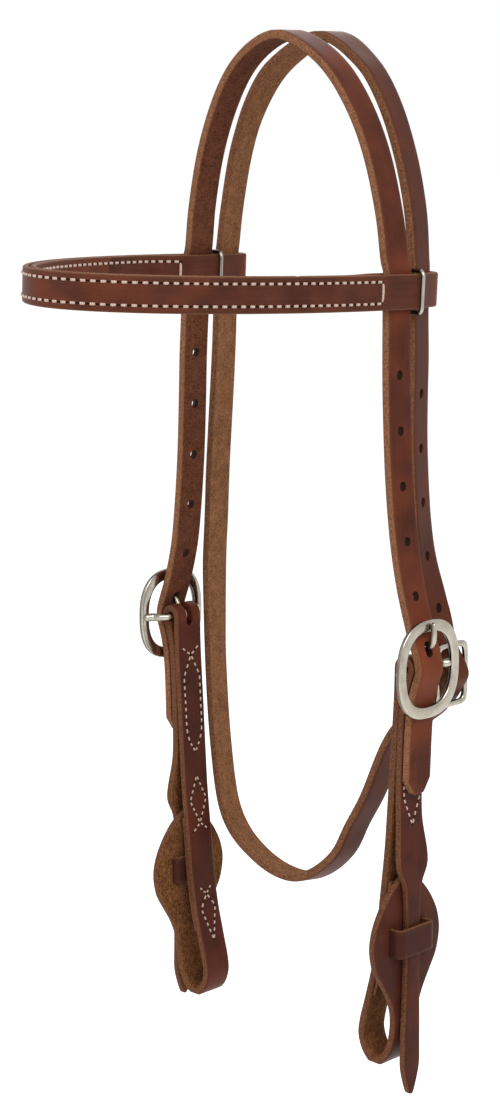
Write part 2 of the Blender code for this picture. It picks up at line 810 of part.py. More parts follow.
def rod(name, points, radius, tapers=None, closed=False):
    """A bent round wire as a mesh, with filled ends where it is open."""
    data = bpy.data.curves.new(name, "CURVE")
    data.dimensions = "3D"
    data.bevel_depth = radius
    data.bevel_resolution = 2
    data.use_fill_caps = not closed
    spline = data.splines.new("POLY")
    spline.points.add(len(points) - 1)
    spline.use_cyclic_u = closed
    for k, place in enumerate(points):
        spline.points[k].co = (*place, 1.0)
        spline.points[k].radius = tapers[k] if tapers else 1.0
    return curve_mesh(name, data)


def joined(target, name, mesh):
    """Weld another mesh to a part with a Boolean union."""
    tool = add_tool(name, mesh)
    weld = target.modifiers.new(name, "BOOLEAN")
    weld.operation = "UNION"
    weld.solver = "EXACT"
    weld.use_self = True
    weld.object = tool
    return tool


def buckle(name, side, place, size, bar, feet):
    """A flat buckle frame whose bar stands behind it on two bent feet."""
    bar_radius, stand_off, bar_half = bar
    half_height, half_width, rim, thick, squareness = size
    outer = oval(half_height, half_width, squareness, RING_POINTS)
    inner = oval(half_height - rim, half_width - rim, squareness, RING_POINTS)
    frame = add_part(name, flat_ring(name, outer, inner, thick), STEEL)
    frame.matrix_world = Matrix.Translation(place) @ Matrix.Rotation(-math.pi / 2, 4, "Y")
    lift = side * (stand_off + thick / 2)
    for vert in frame.data.vertices:
        vert.co.z -= lift
    edge = frame.modifiers.new("edge", "BEVEL")
    edge.width = FRAME_EDGE
    edge.segments = 1
    edge.limit_method = "ANGLE"
    edge.angle_limit = math.radians(50)
    run = half_width - rim / 2 - bar_half
    half = [(bar_half * share, 0.0, bar_radius) for share in BAR_SHARES]
    half += [(bar_half + a * run, -b * lift, bar_radius * taper) for a, b, taper in feet]
    half = smooth(half)
    chosen = np.linspace(0, len(half) - 1, FOOT_POINTS).round().astype(int)
    half = [tuple(half[k]) for k in chosen]
    half = [(-y, z, radius) for y, z, radius in reversed(half)] + half
    path = [(0.0, y, z) for y, z, radius in half]
    tapers = [radius / bar_radius for y, z, radius in half]
    tool = joined(frame, name + "_bar", rod(name + "_bar", path, bar_radius, tapers))
    tool.matrix_world = frame.matrix_world
    return frame


def tongue(name, side, place, ring_size, path, radius):
    """A tongue: an eye round the bar, and a bent wire that runs through the strap to the rim."""
    ring_major, ring_minor = ring_size
    count = 20
    turns = [2 * math.pi * k / count for k in range(count)]
    eye = [(ring_major * math.cos(a), 0.0, ring_major * math.sin(a)) for a in turns]
    part = add_part(name, rod(name, eye, ring_minor, closed=True), STEEL)
    part.matrix_world = Matrix.Translation(place)
    wire = smooth(path)[::2]
    wire = [(side * x, 0.0, z) for x, z in wire]
    tool = joined(part, name + "_wire", rod(name + "_wire", wire, radius))
    tool.matrix_world = part.matrix_world
    return part


def tongue_path(ring, rest, opening, shares):
    """A tongue's wire from its eye to the rim, as (x, z) from the bar."""
    root = (TONGUE_ROOT_SHARES[0] * ring, TONGUE_ROOT_SHARES[1] * ring)
    return [root] + [(a * rest, b * opening) for a, b in shares]


def cheek_tongue_path():
    """The cheek tongue's wire, as (x, z) from the bar."""
    ring = BAR_RADIUS + TONGUE_RING_ROOM + TONGUE_RING_RADIUS
    rest = FRAME_BACK - BAR_X + FRAME_THICK + LAY_GAP + TONGUE_RADIUS
    return tongue_path(ring, rest, FRAME_OPENING, TONGUE_SHARES)


def throat_tongue_path():
    """The throat tongue's wire, as (x, z) from the bar."""
    ring = THROAT_BAR_RADIUS + TONGUE_RING_ROOM + THROAT_RING_RADIUS
    rest = THROAT_STAND_OFF + THROAT_FRAME_THICK + LAY_GAP + THROAT_TONGUE_RADIUS
    opening = THROAT_FRAME_HALF_HEIGHT - THROAT_FRAME_RIM
    return tongue_path(ring, rest, opening, THROAT_TONGUE_SHARES)


def rounded_box(half_x, half_y, corner):
    """Points of a rectangle with round corners."""
    points = []
    for cx, cy, start in ((1, 1, 0), (-1, 1, 90), (-1, -1, 180), (1, -1, 270)):
        centre = np.array([cx * (half_x - corner), cy * (half_y - corner)])
        points += [tuple(p) for p in arc(centre, corner, start, start + 90, CORNER_POINTS)]
    return points


def keeper(name, side):
    """The band that is threaded through the bulb's two slits and goes over the tab."""
    front = TAB_X + CHEEK_THICK / 2 + LAY_GAP + KEEPER_THICK
    back = FLAP_X - CHEEK_THICK / 2 - KEEPER_BACK_ROOM - KEEPER_THICK
    half_x = (front - back) / 2
    half_y = KEEPER_HALF_WIDTH
    outer = rounded_box(half_x, half_y, KEEPER_CORNER + KEEPER_THICK)
    inner = rounded_box(half_x - KEEPER_THICK, half_y - KEEPER_THICK, KEEPER_CORNER)
    band = add_part(name, flat_ring(name, outer, inner, KEEPER_HEIGHT), GRAIN)
    drop = BAR_DROP + FLAP_TIP_DROP + KEEPER_FROM_TIP
    band.location = (side * (front + back) / 2, CHEEK_Y, -drop)
    edge = band.modifiers.new("edge", "BEVEL")
    edge.width = KEEPER_THICK / 4
    edge.segments = 1
    edge.limit_method = "ANGLE"
    edge.angle_limit = math.radians(50)
    return band


# Throatlatch
def throat_lower():
    """From the throat bar down the buckle end to the far side's hanging strap, as (x, z)."""
    points = [THROAT_BAR + np.array([THROAT_FOLD_MID, 0.0])]
    points += [THROAT_BAR + np.array([-THROAT_PINCH_X, -THROAT_PINCH_DROP])]
    points += [(a * THROAT_HALF, -b * THROAT_DROP) for a, b in reversed(THROAT_SHARES)]
    points += [(-a * THROAT_HALF, -b * THROAT_DROP) for a, b in reversed(FAR_HANG_SHARES)]
    arch = reversed(REAR_ARCH_SHARES)
    half = FAR_LEG_HALF + FAR_REAR_OUT
    points += [(-a * half, CROWN_THICK / 2 - b * ARCH_DROP) for a, b in arch]
    points += [(-POLL_FLAT_HALF, CROWN_THICK / 2)]
    return smooth(points)


def throat_end_thick(place):
    """Thickness of the throatlatch's buckle end at a distance from the bar: skived, then full."""
    share = np.clip((place - THROAT_SKIVE_START) / THROAT_SKIVE_RUN, 0, 1)
    return SKIVED_THICK + (CROWN_THICK - SKIVED_THICK) * share


def throat_billet_half():
    """The rear strap's near leg from the poll down over the throat bar to its tip."""
    tail = clip(throat_lower(), 0.0, THROAT_TAIL)
    lift = throat_end_thick(lengths(tail)) / 2 + LAY_GAP + CROWN_THICK / 2
    tail = offset(tail, lift)[::4]
    rim_x = THROAT_BACK - THROAT_TOP_ROOM - CROWN_THICK / 2
    half = NEAR_LEG_HALF - REAR_TUCK
    run = THROAT_BAR_X - half
    points = [(POLL_FLAT_HALF, CROWN_THICK / 2)]
    points += [(a * half, CROWN_THICK / 2 - b * ARCH_DROP) for a, b in REAR_ARCH_SHARES]
    points += [(half + a * run, -b * THROAT_BAR_DROP) for a, b in REAR_LEG_SHARES]
    points += [(rim_x, -THROAT_BAR_DROP + THROAT_FRAME_HALF_HEIGHT - THROAT_FRAME_RIM)]
    bulge = THROAT_BAR_X + THROAT_FOLD_MID + SKIVED_THICK / 2 + LAY_GAP + CROWN_THICK / 2
    points += [(bulge, -THROAT_BAR_DROP)]
    points += list(tail[1:])
    return smooth(points)


def throatlatch_strap():
    """The rear strap: near billet, poll, far side, jaw loop and buckle end, in one length."""
    lower = throat_lower()
    back = clip(lower, 0.0, THROAT_BACK_LENGTH)
    s = lengths(back)
    apart = (SKIVED_THICK + throat_end_thick(s)) / 2 + LAY_GAP
    t = np.clip(s / THROAT_PINCH_DROP, 0, 1)
    close = t * t * (3 - 2 * t)
    turned = offset(back, -(2 * THROAT_FOLD_MID * (1 - close) + apart * close))
    fold = np.array(arc(THROAT_BAR, THROAT_FOLD_MID, 180, 0, FOLD_CUTS))
    billet = throat_billet_half()[::-1]
    flat = np.vstack([turned[::-1][:-1], fold[:-1], lower, billet[::-1]])
    route = world_route(flat, rear_y)
    s = lengths(route)
    total = s[-1]
    fold_top = THROAT_BAR + np.array([0.0, THROAT_FOLD_MID])
    at_fold = nearest_length(flat[: len(turned) + len(fold)], fold_top)
    quarter = THROAT_FOLD_MID * math.pi / 2
    bar_at = at_fold + quarter

    def thick(place):
        """Skived thin at the turned-back buckle end, full elsewhere."""
        return float(throat_end_thick(place - bar_at))

    cut = bmesh.new()
    depth = CROWN_THICK + OVERRUN
    stadium(cut, (at_fold, 0, 0), 2 * (quarter + THROAT_SLOT_BELOW), THROAT_SLOT_WIDTH / 2, depth)
    start = len(flat) - len(billet)
    bulge = THROAT_BAR_X + THROAT_FOLD_MID + SKIVED_THICK / 2 + LAY_GAP + CROWN_THICK / 2
    near = nearest_length(flat[start:], np.array([bulge, -THROAT_BAR_DROP])) + s[start]
    worn = near - THROAT_HOLE_RISE
    for k in range(HOLE_COUNT + 1):
        long = WORN_HOLE_LENGTH if k == 0 else 2 * HOLE_RADIUS
        stadium(cut, (worn - k * HOLE_PITCH, 0, 0), long, HOLE_RADIUS, depth)

    def width(place):
        """Full width, with clipped corners at the billet's end."""
        return STRAP_WIDTH * clipped_share(total - place)

    marks = (*s[start - 1 : start + 1], total - TIP_CLIP_SHARE * STRAP_WIDTH)
    places = cut_places(route, 0.0, total, marks)
    tilts = np.concatenate([far_toe(flat[:start]), -rear_toe(-flat[start:, 1])])
    return bend("throatlatch_strap", route, GRAIN, width, thick, cut, places, tilts)


# Browband
def band_fold(side):
    """Centre of the fold round the rear strap and the lean of the plies in front of it."""
    room = CROWN_THICK / 2 + BAND_CLEAR + BAND_THICK / 2
    toe = rear_toe(BAND_DROP) if side > 0 else -far_toe(np.array([[-FAR_LEG_HALF, -BAND_DROP]]))[0]
    reach = STRAP_WIDTH / 2 - BAND_TUCK
    tuck = REAR_TUCK if side > 0 else -FAR_REAR_OUT
    centre = np.array([leg_half(side) - tuck, edge_y(rear_y, side)])
    centre += reach * np.array([-math.sin(toe), math.cos(toe)])
    corner = np.array([leg_half(side) + room, BAND_CORNER_Y]) - centre
    lean = math.acos(room / np.linalg.norm(corner)) + math.atan2(corner[1], corner[0])
    return centre, lean, room


def band_outer_half(side):
    """The outer ply's middle on one side, from the fold forward to the brow, as (x, y)."""
    centre, lean, room = band_fold(side)
    x = leg_half(side) + room
    y_front = edge_y(front_y, side) - STRAP_WIDTH / 2 - BAND_LEAD
    start = centre + room * np.array([math.cos(lean), math.sin(lean)])
    back = [start, (start + (x, BAND_CORNER_Y)) / 2, (x, BAND_CORNER_Y)]
    back = smooth([*back, (x, (BAND_CORNER_Y + y_front) / 2), (x, y_front)])
    angles = np.linspace(0, math.pi / 2, 90)[1:]
    brow = [(x * math.cos(a), y_front - BAND_DEPTH * math.sin(a)) for a in angles]
    return np.vstack([back, brow])


def band_inner_half(side):
    """The turned-back or lining ply's middle on one side, and where its seam lies."""
    outer = band_outer_half(side)
    wide = 2 * band_fold(side)[2]
    close = BAND_THICK + LAY_GAP
    s = lengths(outer)
    lead = s[np.argmin(abs(outer[:, 1] - edge_y(front_y, side) + STRAP_WIDTH / 2 + BAND_LEAD))]
    t = np.clip((s - lead) / BAND_MERGE_RUN, 0, 1)
    ease = t * t * (3 - 2 * t)
    inner = offset(outer, -(wide + (close - wide) * ease))
    seam = nearest_length(inner, inner[np.argmin(abs(s - lead - BAND_SEAM_RUN))])
    return inner, seam


def browband_pivot():
    """The empty that tilts the browband's pieces up towards the brow and down on the near side."""
    pivot = bpy.data.objects.new("browband_tilt", None)
    PARTS.objects.link(pivot)
    pivot.location = (0, 0, -BAND_DROP)
    pivot.rotation_euler = (BAND_TILT, BAND_ROLL, 0)
    bpy.context.view_layer.update()
    return pivot


def plan_route(points):
    """Plan points as a route in the browband's own plane."""
    points = np.asarray(points, float)
    return np.column_stack([points, np.zeros(len(points))])


def hang_on(pivot, *names):
    """Parent a bent piece, its guide and its cutter to the browband's empty."""
    for name in names:
        piece = bpy.data.objects.get(name)
        if piece is not None:
            piece.parent = pivot


def browband_strap(pivot):
    """The outer ply, folded back round both straps at each end."""
    halves = []
    for side in (1, -1):
        inner, seam = band_inner_half(side)
        centre, lean, room = band_fold(side)
        turn = math.degrees(lean)
        fold = np.array(arc(centre, room, 180 + turn, turn, FOLD_CUTS))
        turned = clip(inner, 0.0, seam)
        halves.append(np.vstack([turned[::-1][:-1], fold[:-1], band_outer_half(side)]))
    flat = np.vstack([halves[0], mirrored(halves[1])[::-1][1:]])
    bend("browband_strap", plan_route(flat), GRAIN, lambda s: STRAP_WIDTH, lambda s: BAND_THICK)
    hang_on(pivot, "browband_strap", "browband_strap_route")


def browband_lining(pivot):
    """The inner ply between the two turned-back ends."""
    halves = []
    for side in (1, -1):
        inner, seam = band_inner_half(side)
        halves.append(clip(inner, seam + LAY_GAP, lengths(inner)[-1]))
    flat = np.vstack([halves[0], mirrored(halves[1])[::-1][1:]])
    bend("browband_lining", plan_route(flat), LINING, lambda s: STRAP_WIDTH, lambda s: BAND_THICK)
    hang_on(pivot, "browband_lining", "browband_lining_route")


def browband_loop(name, side, pivot):
    """The steel wire ring round both plies, in the gap between the two straps."""
    place_y = BAND_CORNER_Y + WIRE_RADIUS
    spans = []
    for ply in (band_outer_half(side), band_inner_half(side)[0]):
        spans += list(ply[abs(ply[:, 1] - place_y) < WIRE_RADIUS, 0])
    low, high = min(spans) - BAND_THICK / 2, max(spans) + BAND_THICK / 2
    half_x = (high - low) / 2 + WIRE_SIDE_ROOM + WIRE_RADIUS
    half_z = (STRAP_WIDTH + WIRE_HEIGHT_ROOM) / 2 + WIRE_RADIUS
    drop = WIRE_HEIGHT_ROOM / 2 - LAY_GAP
    points = [(x, 0.0, z) for x, z in rounded_box(half_x, half_z, WIRE_CORNER)]
    ring = add_part(name, rod(name, points, WIRE_RADIUS, closed=True), STEEL)
    ring.parent = pivot
    ring.location = (side * (high + low) / 2, place_y, -drop)


def smooth_round_pieces():
    """Shade the round steel pieces smooth, with sharp edges kept."""
    for part in PARTS.objects:
        if part.type != "MESH":
            continue
        shader = part.active_material.node_tree.nodes["Principled BSDF"]
        if shader.inputs["Metallic"].default_value > 0:
            part.data.shade_smooth()
            part.data.set_sharp_from_angle(angle=math.radians(45))


def build():
    """Make every piece of the headstall."""
    crown_strap()
    throatlatch_strap()
    cheek_size = (FRAME_HALF_HEIGHT, FRAME_HALF_WIDTH, FRAME_RIM, FRAME_THICK, FRAME_SQUARENESS_SHARE)
    bar_half = STRAP_WIDTH / 2 + BAR_END_ROOM
    eye = (BAR_RADIUS + TONGUE_RING_ROOM + TONGUE_RING_RADIUS, TONGUE_RING_RADIUS)
    for side, hand in ((1, "near"), (-1, "far")):
        place = (side * BAR_X, CHEEK_Y, -BAR_DROP)
        cheekpiece(hand + "_cheekpiece", side)
        backing(hand + "_loop_backing", side)
        keeper(hand + "_tab_keeper", side)
        bar = (BAR_RADIUS, FRAME_BACK - BAR_X, bar_half)
        buckle(hand + "_cheek_buckle", side, place, cheek_size, bar, FOOT_SHARES)
        tongue(hand + "_cheek_tongue", side, place, eye, cheek_tongue_path(), TONGUE_RADIUS)
    throat_size = (
        THROAT_FRAME_HALF_HEIGHT,
        THROAT_FRAME_HALF_WIDTH,
        THROAT_FRAME_RIM,
        THROAT_FRAME_THICK,
        THROAT_SQUARENESS_SHARE,
    )
    place = (THROAT_BAR_X, THROAT_Y, -THROAT_BAR_DROP)
    bar = (THROAT_BAR_RADIUS, THROAT_STAND_OFF, STRAP_WIDTH / 2 + BAR_END_ROOM / 2)
    eye = (THROAT_BAR_RADIUS + TONGUE_RING_ROOM + THROAT_RING_RADIUS, THROAT_RING_RADIUS)
    buckle("throat_buckle", 1, place, throat_size, bar, THROAT_FOOT_SHARES)
    tongue("throat_tongue", 1, place, eye, throat_tongue_path(), THROAT_TONGUE_RADIUS)
    pivot = browband_pivot()
    browband_strap(pivot)
    browband_lining(pivot)
    for side, hand in ((1, "near"), (-1, "far")):
        browband_loop(hand + "_browband_loop", side, pivot)
    smooth_round_pieces()


build()
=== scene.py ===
"""Western headstall: the leather, steel and thread that show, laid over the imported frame.

Every strap is made flat, punched, and then laid along the same route as its solid, so the
leather keeps its own flat measure and the finishes follow it round every bend.
Lengths are in metres. +X is the horse's near side, -Y is forward and +Z is up.
"""
import logging
import math
from dataclasses import dataclass, field
from enum import Enum
from typing import Callable, Iterable, Sequence

import bmesh
import bpy
import numpy as np
from mathutils import Matrix, Vector


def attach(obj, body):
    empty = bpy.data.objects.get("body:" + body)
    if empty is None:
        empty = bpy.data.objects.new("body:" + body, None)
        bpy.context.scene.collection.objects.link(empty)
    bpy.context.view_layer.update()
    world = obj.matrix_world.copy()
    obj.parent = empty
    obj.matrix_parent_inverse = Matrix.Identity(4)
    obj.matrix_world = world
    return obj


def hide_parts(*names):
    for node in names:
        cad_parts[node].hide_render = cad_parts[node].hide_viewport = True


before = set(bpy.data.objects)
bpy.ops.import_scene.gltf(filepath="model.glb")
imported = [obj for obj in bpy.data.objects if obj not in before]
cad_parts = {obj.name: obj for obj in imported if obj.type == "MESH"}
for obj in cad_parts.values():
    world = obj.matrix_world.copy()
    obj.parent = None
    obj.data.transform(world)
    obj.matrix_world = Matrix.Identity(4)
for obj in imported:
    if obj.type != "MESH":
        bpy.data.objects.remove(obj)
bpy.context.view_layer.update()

LOG = logging.getLogger("western_headstall")

Shares = tuple[tuple[float, ...], ...]
Width = Callable[[float], float]

# A round corner's signs on both axes, and the angle in degrees that it starts at.
CORNERS = ((1, 1, 0), (-1, 1, 90), (-1, -1, 180), (1, -1, 270))
# Rings along a strap: widest and closest spacing, the turn of a bend between two, and what softens the bend.
RING_FAR, RING_NEAR, RING_TURN, RING_SPREAD = 0.0024, 0.0006, 0.13, 0.0015
# A ring is left out where it comes this close to a mark.
MARK_ROOM = 0.0003
# Steps that a route's curvature is softened in.
BEND_STEP = 0.001
# A punched hole's mouth and neck: height over the strap's face, and growth of the radius.
HOLE_MOUTH, HOLE_NECK = (0.0006, 0.00035), (-0.0005, -0.0002)
# The strain of a bend that pulls the leather's colour up in full.
FULL_STRAIN = 0.22
# Pull-up by handling: its share, its start from the billet's tip, and the runs that it grows and fades in.
HANDLED_SHARE, HANDLED_START, HANDLED_GROWTH, HANDLED_FADE = 0.7, 0.012, 0.030, 0.040
# A bead of thread: its places along the stitch, and its points round each.
BEAD_PLACES, BEAD_AROUND = (0.0, 0.06, 0.18, 0.5, 0.82, 0.94, 1.0), 10
# Metres to millimetres, for a vector.
TO_MM = (1000.0, 1000.0, 1000.0)


class Side(Enum):
    """The horse's two sides, as the sign of X."""

    NEAR = 1
    FAR = -1

    @property
    def hand(self) -> str:
        """The word that the frame's names use."""
        return self.name.lower()


class Grain(Enum):
    """Which face of a strap is the hide's smooth side, looking along its route."""

    LEFT = 1
    RIGHT = -1
    NEITHER = 0


# Curves
def smooth(points: Sequence, step: float = 0.001) -> np.ndarray:
    """Draw a soft curve through some points.

    Args:
        points: The points that it passes through.
        step: About how far apart its own points are.

    Returns:
        The curve's points.
    """
    points = np.asarray(points, float)
    ends = (2 * points[0] - points[1], 2 * points[-1] - points[-2])
    ctrl = np.vstack([ends[0], points, ends[1]])
    out = [points[0]]
    for i in range(1, len(ctrl) - 2):
        p0, p1, p2, p3 = ctrl[i - 1 : i + 3]
        d = [math.sqrt(np.linalg.norm(b - a)) for a, b in ((p0, p1), (p1, p2), (p2, p3))]
        m1 = d[1] * ((p1 - p0) / d[0] - (p2 - p0) / (d[0] + d[1])) + (p2 - p1)
        m2 = d[1] * ((p3 - p2) / d[2] - (p3 - p1) / (d[1] + d[2])) + (p2 - p1)
        steps = max(2, math.ceil(np.linalg.norm(p2 - p1) / step))
        for k in range(1, steps + 1):
            t = k / steps
            a = 2 * t**3 - 3 * t**2 + 1
            b = t**3 - 2 * t**2 + t
            c = -2 * t**3 + 3 * t**2
            out.append(a * p1 + b * m1 + c * p2 + (t**3 - t**2) * m2)
    return np.array(out)


def lengths(points: np.ndarray) -> np.ndarray:
    """Distance of each point along its line."""
    steps = np.linalg.norm(np.diff(points, axis=0), axis=1)
    return np.concatenate([[0.0], np.cumsum(steps)])


def offset(points: np.ndarray, distance: float | np.ndarray) -> np.ndarray:
    """Move a flat line to the left of its own direction.

    Args:
        points: The line, as pairs.
        distance: One distance, or one for each point.

    Returns:
        The moved line.
    """
    tangent = np.gradient(points, axis=0)
    tangent /= np.linalg.norm(tangent, axis=1)[:, None]
    normal = np.column_stack([-tangent[:, 1], tangent[:, 0]])
    return points + normal * np.reshape(distance, (-1, 1))


def clip(points: np.ndarray, start: float, end: float) -> np.ndarray:
    """Keep the stretch of a line between two distances along it.

    Args:
        points: The line.
        start: Where the kept stretch begins.
        end: Where it ends.

    Returns:
        The kept stretch.
    """
    s = lengths(points)
    inside = points[(s > start) & (s < end)]
    first, last = (np.array([np.interp(d, s, column) for column in points.T]) for d in (start, end))
    return np.vstack([first, inside, last])


def arc(centre: np.ndarray, radius: float, start: float, end: float, count: int) -> np.ndarray:
    """Points on an arc.

    Args:
        centre: Its centre.
        radius: Its radius.
        start: Its first angle in degrees.
        end: Its last angle in degrees.
        count: How many points.

    Returns:
        The points.
    """
    angles = np.radians(np.linspace(start, end, count))
    return centre + radius * np.column_stack([np.cos(angles), np.sin(angles)])


def nearest_length(points: np.ndarray, target: Sequence[float]) -> float:
    """Distance along a line of its point nearest a target."""
    return float(lengths(points)[np.argmin(np.linalg.norm(points - np.asarray(target), axis=1))])


def mirrored(points: np.ndarray) -> np.ndarray:
    """The same points on the far side."""
    return points * np.array([-1.0] + [1.0] * (points.shape[1] - 1))


def ease(t: float | np.ndarray) -> float | np.ndarray:
    """A soft step from 0 to 1."""
    t = np.clip(t, 0, 1)
    return t * t * (3 - 2 * t)


def rounded_box(half_x: float, half_y: float, corner: float, steps: int = 9) -> np.ndarray:
    """Points of a rectangle with round corners, counter-clockwise from its right side.

    Args:
        half_x: Half its length along X.
        half_y: Half its length along Y.
        corner: Its corners' radius.
        steps: Points on each corner.

    Returns:
        The points.
    """
    parts = []
    for cx, cy, start in CORNERS:
        centre = np.array([cx * (half_x - corner), cy * (half_y - corner)])
        parts.append(arc(centre, corner, start, start + 90, steps))
    return np.vstack(parts)


def moved(points: np.ndarray, where: Matrix) -> np.ndarray:
    """Points carried by a matrix."""
    turn = np.array(where)
    return points @ turn[:3, :3].T + turn[:3, 3]


def swelled(values: np.ndarray, power: float) -> np.ndarray:
    """Sines or cosines raised to a power, their signs kept, so that a circle grows square."""
    return np.sign(values) * np.abs(values) ** power


def fixed(size: float) -> Width:
    """The same size all along a strap."""
    return lambda s: size


# Meshes
def link(name: str, mesh: bpy.types.Mesh, sharp: float = 40.0) -> bpy.types.Object:
    """Put a mesh in the scene as a smooth-shaded piece.

    Args:
        name: The piece's name.
        mesh: Its mesh.
        sharp: Edges that turn more than this many degrees stay sharp.

    Returns:
        The piece.
    """
    piece = bpy.data.objects.new(name, mesh)
    bpy.context.scene.collection.objects.link(piece)
    mesh.shade_smooth()
    mesh.set_sharp_from_angle(angle=math.radians(sharp))
    return piece


def tube_faces(rings: int, around: int, closed: bool, first: int = 0) -> list[tuple[int, ...]]:
    """Faces between rings of points.

    Args:
        rings: How many rings.
        around: How many points on each.
        closed: Whether the last ring joins the first.
        first: Number of the first point.

    Returns:
        The faces, with end caps where the tube is open.
    """
    faces = []
    for i in range(rings if closed else rings - 1):
        a, b = first + i * around, first + ((i + 1) % rings) * around
        for k in range(around):
            n = (k + 1) % around
            faces.append((a + k, a + n, b + n, b + k))
    if not closed:
        faces.append(tuple(first + k for k in reversed(range(around))))
        faces.append(tuple(first + (rings - 1) * around + k for k in range(around)))
    return faces


def outward(mesh: bpy.types.Mesh) -> None:
    """Turn all faces of a mesh outward."""
    bm = bmesh.new()
    bm.from_mesh(mesh)
    bmesh.ops.recalc_face_normals(bm, faces=bm.faces)
    bm.to_mesh(mesh)
    bm.free()


def made_mesh(name: str, points: Sequence, faces: Sequence) -> bpy.types.Mesh:
    """A mesh whose faces all look outward.

    Args:
        name: Its name.
        points: Its points.
        faces: Its faces.

    Returns:
        The mesh.
    """
    mesh = bpy.data.meshes.new(name)
    mesh.from_pydata([tuple(p) for p in points], [], faces)
    outward(mesh)
    return mesh


def coordinates(mesh: bpy.types.Mesh) -> np.ndarray:
    """All points of a mesh."""
    flat = np.empty(len(mesh.vertices) * 3)
    mesh.vertices.foreach_get("co", flat)
    return flat.reshape(-1, 3)


def store(mesh: bpy.types.Mesh, name: str, values: np.ndarray) -> None:
    """Keep one number or one vector for each point of a mesh.

    Args:
        mesh: The mesh.
        name: The name that the finishes read.
        values: The numbers or vectors.
    """
    values = np.asarray(values, float)
    vector = values.ndim == 2
    layer = mesh.attributes.new(name, "FLOAT_VECTOR" if vector else "FLOAT", "POINT")
    layer.data.foreach_set("vector" if vector else "value", values.ravel())


def rod_mesh(name: str, path: np.ndarray, radii: Sequence[float], closed: bool = False) -> bpy.types.Mesh:
    """A round bar along a line, with rounded ends where it is open.

    Args:
        name: The mesh's name.
        path: The line.
        radii: Its radius at each point.
        closed: Whether it is a ring.

    Returns:
        The mesh.
    """
    around, shut_tip, too_close = 20, 0.06, 0.3
    path = np.asarray(path, float)
    radii = np.asarray(radii, float)
    if closed:
        tangent = np.roll(path, -1, axis=0) - np.roll(path, 1, axis=0)
    else:
        tangent = np.gradient(path, axis=0)
    tangent /= np.linalg.norm(tangent, axis=1)[:, None]
    if not closed:
        caps = np.radians([0, 25, 50, 72])
        head = [path[0] - tangent[0] * radii[0] * math.cos(a) for a in caps]
        tail = [path[-1] + tangent[-1] * radii[-1] * math.cos(a) for a in reversed(caps)]
        shut = np.maximum(np.sin(caps), shut_tip)
        path = np.vstack([head, path, tail])
        tangent = np.vstack([[tangent[0]] * len(caps), tangent, [tangent[-1]] * len(caps)])
        radii = np.concatenate([shut * radii[0], radii, shut[::-1] * radii[-1]])
    points = []
    guide = np.cross(tangent[0], (0.0, 1.0, 0.0))
    if np.linalg.norm(guide) < too_close:
        guide = np.cross(tangent[0], (1.0, 0.0, 0.0))
    turns = np.linspace(0, 2 * math.pi, around, endpoint=False)
    for place, along, radius in zip(path, tangent, radii):
        guide = guide - along * (guide @ along)
        guide /= np.linalg.norm(guide)
        other = np.cross(along, guide)
        points += [place + radius * (guide * math.cos(a) + other * math.sin(a)) for a in turns]
    return made_mesh(name, points, tube_faces(len(path), around, closed))


def joined(name: str, meshes: Sequence[bpy.types.Mesh], sharp: float = 40.0) -> bpy.types.Object:
    """Several meshes as one piece.

    Args:
        name: The piece's name.
        meshes: Its meshes.
        sharp: Edges that turn more than this many degrees stay sharp.

    Returns:
        The piece.
    """
    bm = bmesh.new()
    for mesh in meshes:
        bm.from_mesh(mesh)
    whole = bpy.data.meshes.new(name)
    bm.to_mesh(whole)
    bm.free()
    return link(name, whole, sharp)


# Routes and straps
@dataclass
class Route:
    """A strap's middle line in space, with the directions through and across the strap."""

    points: np.ndarray
    tilts: np.ndarray | None = None
    level: bool = False
    where: Matrix = field(default_factory=Matrix)

    def __post_init__(self) -> None:
        """Work out the directions at each point."""
        self.s = lengths(self.points)
        tangent = np.gradient(self.points, self.s, axis=0)
        tangent /= np.linalg.norm(tangent, axis=1)[:, None]
        base = np.array([0.0, 0.0, 1.0] if self.level else [0.0, 1.0, 0.0])
        side = base - tangent * (tangent @ base)[:, None]
        side /= np.linalg.norm(side, axis=1)[:, None]
        tilts = np.zeros(len(self.s)) if self.tilts is None else self.tilts
        turned = side * np.cos(tilts)[:, None] + np.cross(tangent, side) * np.sin(tilts)[:, None]
        self.across = turned
        self.left = np.cross(turned, tangent) if self.level else np.cross(tangent, turned)
        self.bend = np.linalg.norm(np.gradient(tangent, self.s, axis=0), axis=1)

    @property
    def total(self) -> float:
        """The route's whole length."""
        return float(self.s[-1])

    def place(self, flat: np.ndarray) -> np.ndarray:
        """Lay flat points along the route.

        Args:
            flat: Points as distance along, distance across, and distance to the left.

        Returns:
            The points in space.
        """
        along = flat[:, 0]
        out = []
        for axis in range(3):
            middle = np.interp(along, self.s, self.points[:, axis])
            across = np.interp(along, self.s, self.across[:, axis])
            left = np.interp(along, self.s, self.left[:, axis])
            out.append(middle + across * flat[:, 1] + left * flat[:, 2])
        return moved(np.column_stack(out), self.where)

    def curvature(self, along: np.ndarray, spread: float = 0.005) -> np.ndarray:
        """How sharply the route bends, softened over a distance.

        Args:
            along: Distances along the route.
            spread: The distance that it is softened over.

        Returns:
            The curvature at each distance, per metre.
        """
        places = np.arange(0, self.total, BEND_STEP)
        bend = np.interp(places, self.s, self.bend)
        reach = int(spread * 2 / BEND_STEP)
        kernel = np.exp(-0.5 * (np.arange(-reach, reach + 1) * BEND_STEP / spread) ** 2)
        soft = np.convolve(np.pad(bend, reach, mode="edge"), kernel / kernel.sum(), "valid")
        return np.interp(along, places, soft)


@dataclass(frozen=True)
class Hole:
    """A punched hole or slit in a flat strap."""

    along: float
    length: float
    radius: float
    across: float = 0.0


